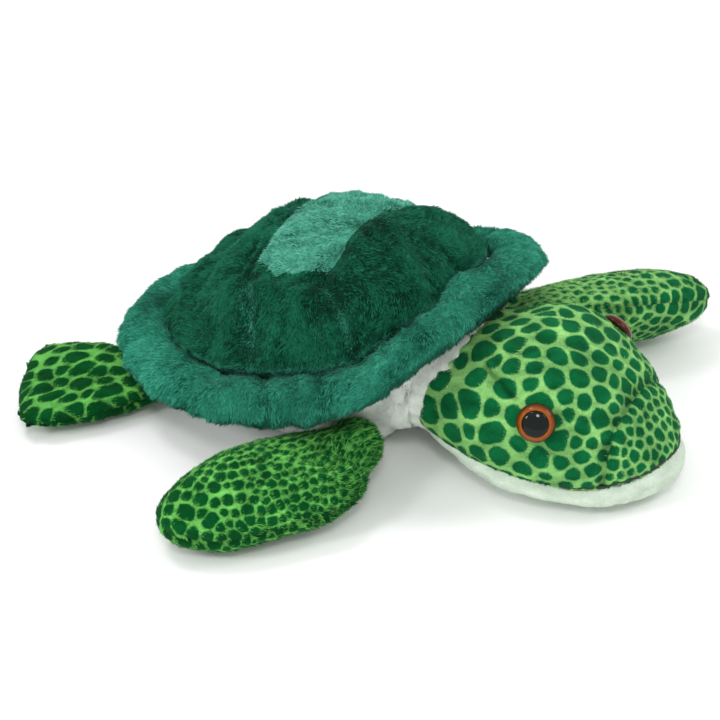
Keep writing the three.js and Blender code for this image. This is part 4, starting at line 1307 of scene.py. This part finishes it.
class TURTLE_OT_mouth(bpy.types.Operator):
    """Sews the mouth, a line of black stitches along the seam of the snout"""

    bl_idname = "turtle.mouth"
    bl_label = "Mouth"

    def execute(self, context):
        cover = [bpy.data.objects[name] for name in ("hood_plush", "snout_plush", "chin_plush")]
        p = np.concatenate([points(obj) for obj in cover])
        x = p[:, 0] - NECK[0]
        seam = np.abs(p[:, 2] - chin_height(x) - 0.0012) < 0.0016
        p = p[seam & (x > 0.052)]
        # Runs round the front of the snout, from one corner of the mouth to the other
        turn = np.arctan2(p[:, 1], p[:, 0] - NECK[0] - 0.045)
        bins = np.linspace(-1.35, 1.35, 61)
        path = []
        for low, high in zip(bins[:-1], bins[1:]):
            here = p[(turn >= low) & (turn < high)]
            if len(here):
                reach = np.linalg.norm(here[:, :2] - [NECK[0] + 0.045, 0], axis=1)
                best = here[np.argsort(reach)[-max(len(here) // 6, 1):]]
                path.append(best.mean(0))
        path = np.array(path)
        for _ in range(3):
            path[1:-1] = (path[:-2] + 2 * path[1:-1] + path[2:]) / 4
        lengths = np.concatenate([[0], np.cumsum(np.linalg.norm(np.diff(path, axis=0), axis=1))])
        pieces = []
        for start in np.arange(0.0005, lengths[-1] - STITCH, STITCH + STITCH_GAP):
            ends = ([np.interp(s, lengths, path[:, k]) for k in range(3)] for s in (start, start + STITCH))
            pieces.append(self.stitch(*map(Vector, ends)))
        select_only(*pieces)
        bpy.ops.object.join()
        thread = bpy.context.object
        thread.name = thread.data.name = "mouth_stitching"
        select_only(thread)
        bpy.ops.object.transform_apply(location=True, rotation=True, scale=True)
        bpy.ops.object.shade_smooth()
        thread.data.materials.append(thread_material(context.scene.turtle_colours.thread))
        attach(thread, "head")
        return {"FINISHED"}

    def stitch(self, a, b):
        """One stitch, its ends drawn down into the cloth."""
        bpy.ops.mesh.primitive_cylinder_add(
            vertices=8, radius=THREAD_RADIUS, depth=(b - a).length, end_fill_type="TRIFAN")
        piece = bpy.context.object
        for height in (0.0012, -0.0012):
            with editing(piece):
                bpy.ops.mesh.bisect(plane_co=(0, 0, height), plane_no=(0, 0, 1))
        for vertex in piece.data.vertices:
            if abs(vertex.co.z) > 0.0014:
                vertex.co.x *= 0.6
                vertex.co.y *= 0.6
        piece.rotation_mode = "QUATERNION"
        piece.rotation_quaternion = (b - a).to_track_quat("Z", "Y")
        piece.location = (a + b) / 2
        return piece


class TURTLE_OT_flippers(bpy.types.Operator):
    """Makes the four flippers, each an upper and a lower cover"""

    bl_idname = "turtle.flippers"
    bl_label = "Flippers"

    def execute(self, context):
        sizes, colours = context.scene.turtle_sizes, context.scene.turtle_colours
        spotted_material("turtle_limb_print", colours.limb_lime, colours.limb_spot)
        for index, (name, limb) in enumerate(FLIPPERS.items()):
            covers = [f"{name}_flipper_upper_cover", f"{name}_flipper_lower_cover"]
            nodes = [*covers, f"{name}_flipper_stuffing", f"{name}_root_stuffing"]
            form = make_form(f"{name}_form", nodes, sizes, rounds=limb["rounds"])
            root, point, lead, face = limb_axes(limb)
            axes = np.stack([point, lead, face], -1)

            def settled(p):
                return self.settled(name, p, root, axes)

            rear = name.startswith("rear")
            if rear:
                local = (points(form) - root) @ axes
                smooth(form, THIN_CORNER_ROUNDS, np.linalg.norm(local - THIN_CORNER, axis=1) < THIN_CORNER_REACH)
            move_to(form, settled(points(form)))
            local = (points(form) - root) @ axes
            hold = (local[:, 0] > 0.006) * near(np.abs(local[:, 2]), 0.0016)
            press(form, hold, FLIPPER_SEAM_DEPTH)
            # Painted shade along the edge seam, and the flipper's own share of painted shade over the whole of it
            write(form, "shade", limb["painted_shade"] + 0.3 * hold)
            p, n = points(form), normals(form)
            along = swirl(np.tile(-point, (len(p), 1)), p, n, 0.9, 0.015, 71 + index)
            relief(form, along, 0.00025, 0.003, 0.006, 81 + index)
            local = (points(form) - root) @ axes
            apart = 0.2 * (local[:, 2] > 0)
            if rear:
                drawn = unit((point + 0.35 * lead)[None])[0]
                keep_print(form, np.full(len(p), REAR_PITCH), 0.0001, 0.54, 91 + index, apart, drawn, warp=0.3)
            else:
                ahead = local[:, 0] / MM
                pitch = through(ahead, FLIPPER_PITCH) * MM * limb["pitch"]
                keep_print(form, pitch, limb["gap"], 0.56, 91 + index, apart, warp=0.22)
                write(form, "stretch", through(ahead, FLIPPER_NAP))
            c = (face_centres(form) - root) @ axes
            names = [f"{name}_upper_plush", f"{name}_lower_plush"]
            parts = part_by_face(form, np.where(c[:, 2] > 0, 0, 1), names)
            make_fill(f"{name}_fill", f"{name}_flipper_stuffing", f"{name}_flipper", 0.0015, settled)
            material = bpy.data.materials[limb["material"]]
            for part, covered in zip(names, covers):
                finish_cover(parts[part], f"{name}_flipper", [covered], material, sizes,
                             FLIPPER_SEED + index, traits=("print", "shade"), fray=limb["fray"])
        return {"FINISHED"}

    def settled(self, name, p, root, axes):
        """Bends a flipper as it lies in the toy's own way, in its own axes."""
        local = (p - root) @ axes / MM
        along, across = local[:, 0], local[:, 1]
        if name == "front_left":
            tip = between(along, 30, 90)
            local[:, 0] += 5 * tip
            local[:, 1] *= 1 + 0.15 * near(along - 62, 22)
            local[:, 2] += 2 * tip
        elif name == "front_right":
            ahead = between(across, 0, 14)
            full, notch = near(along - 25, 15) * ahead, near(along - 8, 8) * ahead
            local[:, 1] += 5 * full + 4.5 * notch - 2.5 * near(along + 6, 8) * between(across, 0, 8)
        elif name == "rear_left":
            tip = between(along, 36, 74)
            local[:, 0] -= 7.5 * tip
            local[:, 2] -= 2.5 * tip * between(local[:, 2], -3, 3)
        else:
            rear = between(across, 0, -14) * between(along, 10, 35)
            local[:, 1] -= 3.5 * rear
            local[:, 2] += 3 * rear
            tip = between(along, 48, 70)
            local[:, 0] += tip * (2.2 * between(across, 0, 14) - 3.2 * between(across, 0, -14))
            local[:, 1] += 2 * tip * between(across, 0, 14)
        if name.startswith("rear"):
            local[:, 2] += 1.8 * between(local[:, 2], 0, -5) * near(along - 2, 11)
        return root + local @ axes.T * MM


class TURTLE_OT_inner(bpy.types.Operator):
    """Gives the fill and the lock washers, which the covers hide, their finishes"""

    bl_idname = "turtle.inner"
    bl_label = "Fill and washers"

    def execute(self, context):
        fibre = fibre_material()
        washer = moulded_material("turtle_washer", (0.7, 0.7, 0.67), 0.35)
        for name, obj in frame["nodes"].items():
            if obj.hide_render:
                continue
            obj.data.materials.clear()
            obj.data.materials.append(washer if "washer" in name else fibre)
        return {"FINISHED"}


class TURTLE_OT_stage(bpy.types.Operator):
    """Sets the floor, the lamps and the camera"""

    bl_idname = "turtle.stage"
    bl_label = "Stage"

    def execute(self, context):
        scene = context.scene
        scene.view_settings.view_transform = "Standard"
        bpy.ops.mesh.primitive_plane_add(size=6, location=(0, 0, 0))
        floor = context.object
        floor.name = floor.data.name = "floor"
        floor.location.z = -0.0002
        select_only(floor)
        bpy.ops.object.transform_apply(location=True)
        material, graph, shader = new_material("floor")
        set_shader(graph, shader, Base_Color=(0.96, 0.96, 0.96), Roughness=0.9, Specular_IOR_Level=0)
        floor.data.materials.append(material)
        world = bpy.data.worlds.new("studio")
        world.use_nodes = True
        scene.world = world
        # The sky is brighter where the camera sees it than where it lights the toy
        sky = Graph(world.node_tree)
        rays = sky.add("LightPath").outputs
        seen = sky.math("ADD", rays["Is Camera Ray"], rays["Is Transmission Ray"], True)
        background = sky.nodes["Background"]
        sky.feed(background.inputs["Color"], (1, 1, 1))
        sky.feed(background.inputs["Strength"], sky.math("ADD", sky.math("MULTIPLY", seen, 0.16), 0.84))
        # Softboxes that stand where the glints in the eyes show them
        for name, values in SOFTBOXES.items():
            self.lamp(name, *values)
        camera = bpy.data.cameras.new("camera")
        camera.lens, camera.sensor_width, camera.clip_start = LENS, SENSOR, 0.01
        rig = bpy.data.objects.new("camera", camera)
        scene.collection.objects.link(rig)
        azimuth, elevation = math.radians(AZIMUTH), math.radians(ELEVATION)
        level = math.cos(elevation)
        away = Vector((math.sin(azimuth) * level, -math.cos(azimuth) * level, math.sin(elevation)))
        rig.location = Vector(AIM) + away * DISTANCE
        rig.rotation_euler = (math.pi / 2 - elevation, 0, azimuth)
        scene.camera = rig
        return {"FINISHED"}

    def lamp(self, name, place, size, power):
        light = bpy.data.lights.new(name, "AREA")
        light.shape = "DISK"
        light.size = size
        light.energy = power
        rig = bpy.data.objects.new(name, light)
        bpy.context.scene.collection.objects.link(rig)
        rig.location = place
        rig.rotation_euler = (-Vector(place)).to_track_quat("-Z", "Y").to_euler()


class TURTLE_PT_panel(bpy.types.Panel):
    """Lists the turtle's pieces in the sidebar"""

    bl_idname = "TURTLE_PT_panel"
    bl_label = "Plush Turtle"
    bl_space_type = "VIEW_3D"
    bl_region_type = "UI"
    bl_category = "Turtle"

    def draw(self, context):
        for operator in OPERATORS:
            self.layout.operator(operator.bl_idname)
        for group_name in ("turtle_sizes", "turtle_colours"):
            owner = getattr(context.scene, group_name)
            for key in owner.__annotations__:
                self.layout.prop(owner, key)


OPERATORS = (
    TURTLE_OT_stage, TURTLE_OT_torso, TURTLE_OT_rim, TURTLE_OT_head, TURTLE_OT_neck, TURTLE_OT_eyes, TURTLE_OT_mouth,
    TURTLE_OT_flippers, TURTLE_OT_inner,
)
CLASSES = (TurtleSizes, TurtleColours, *OPERATORS, TURTLE_PT_panel)


def register():
    for item in CLASSES:
        bpy.utils.register_class(item)
    bpy.types.Scene.turtle_sizes = bpy.props.PointerProperty(type=TurtleSizes)
    bpy.types.Scene.turtle_colours = bpy.props.PointerProperty(type=TurtleColours)


def unregister():
    del bpy.types.Scene.turtle_colours
    del bpy.types.Scene.turtle_sizes
    for item in reversed(CLASSES):
        bpy.utils.unregister_class(item)


def main():
    register()
    for operator in OPERATORS:
        family, name = operator.bl_idname.split(".")
        getattr(getattr(bpy.ops, family), name)()


if __name__ == "__main__":
    main()
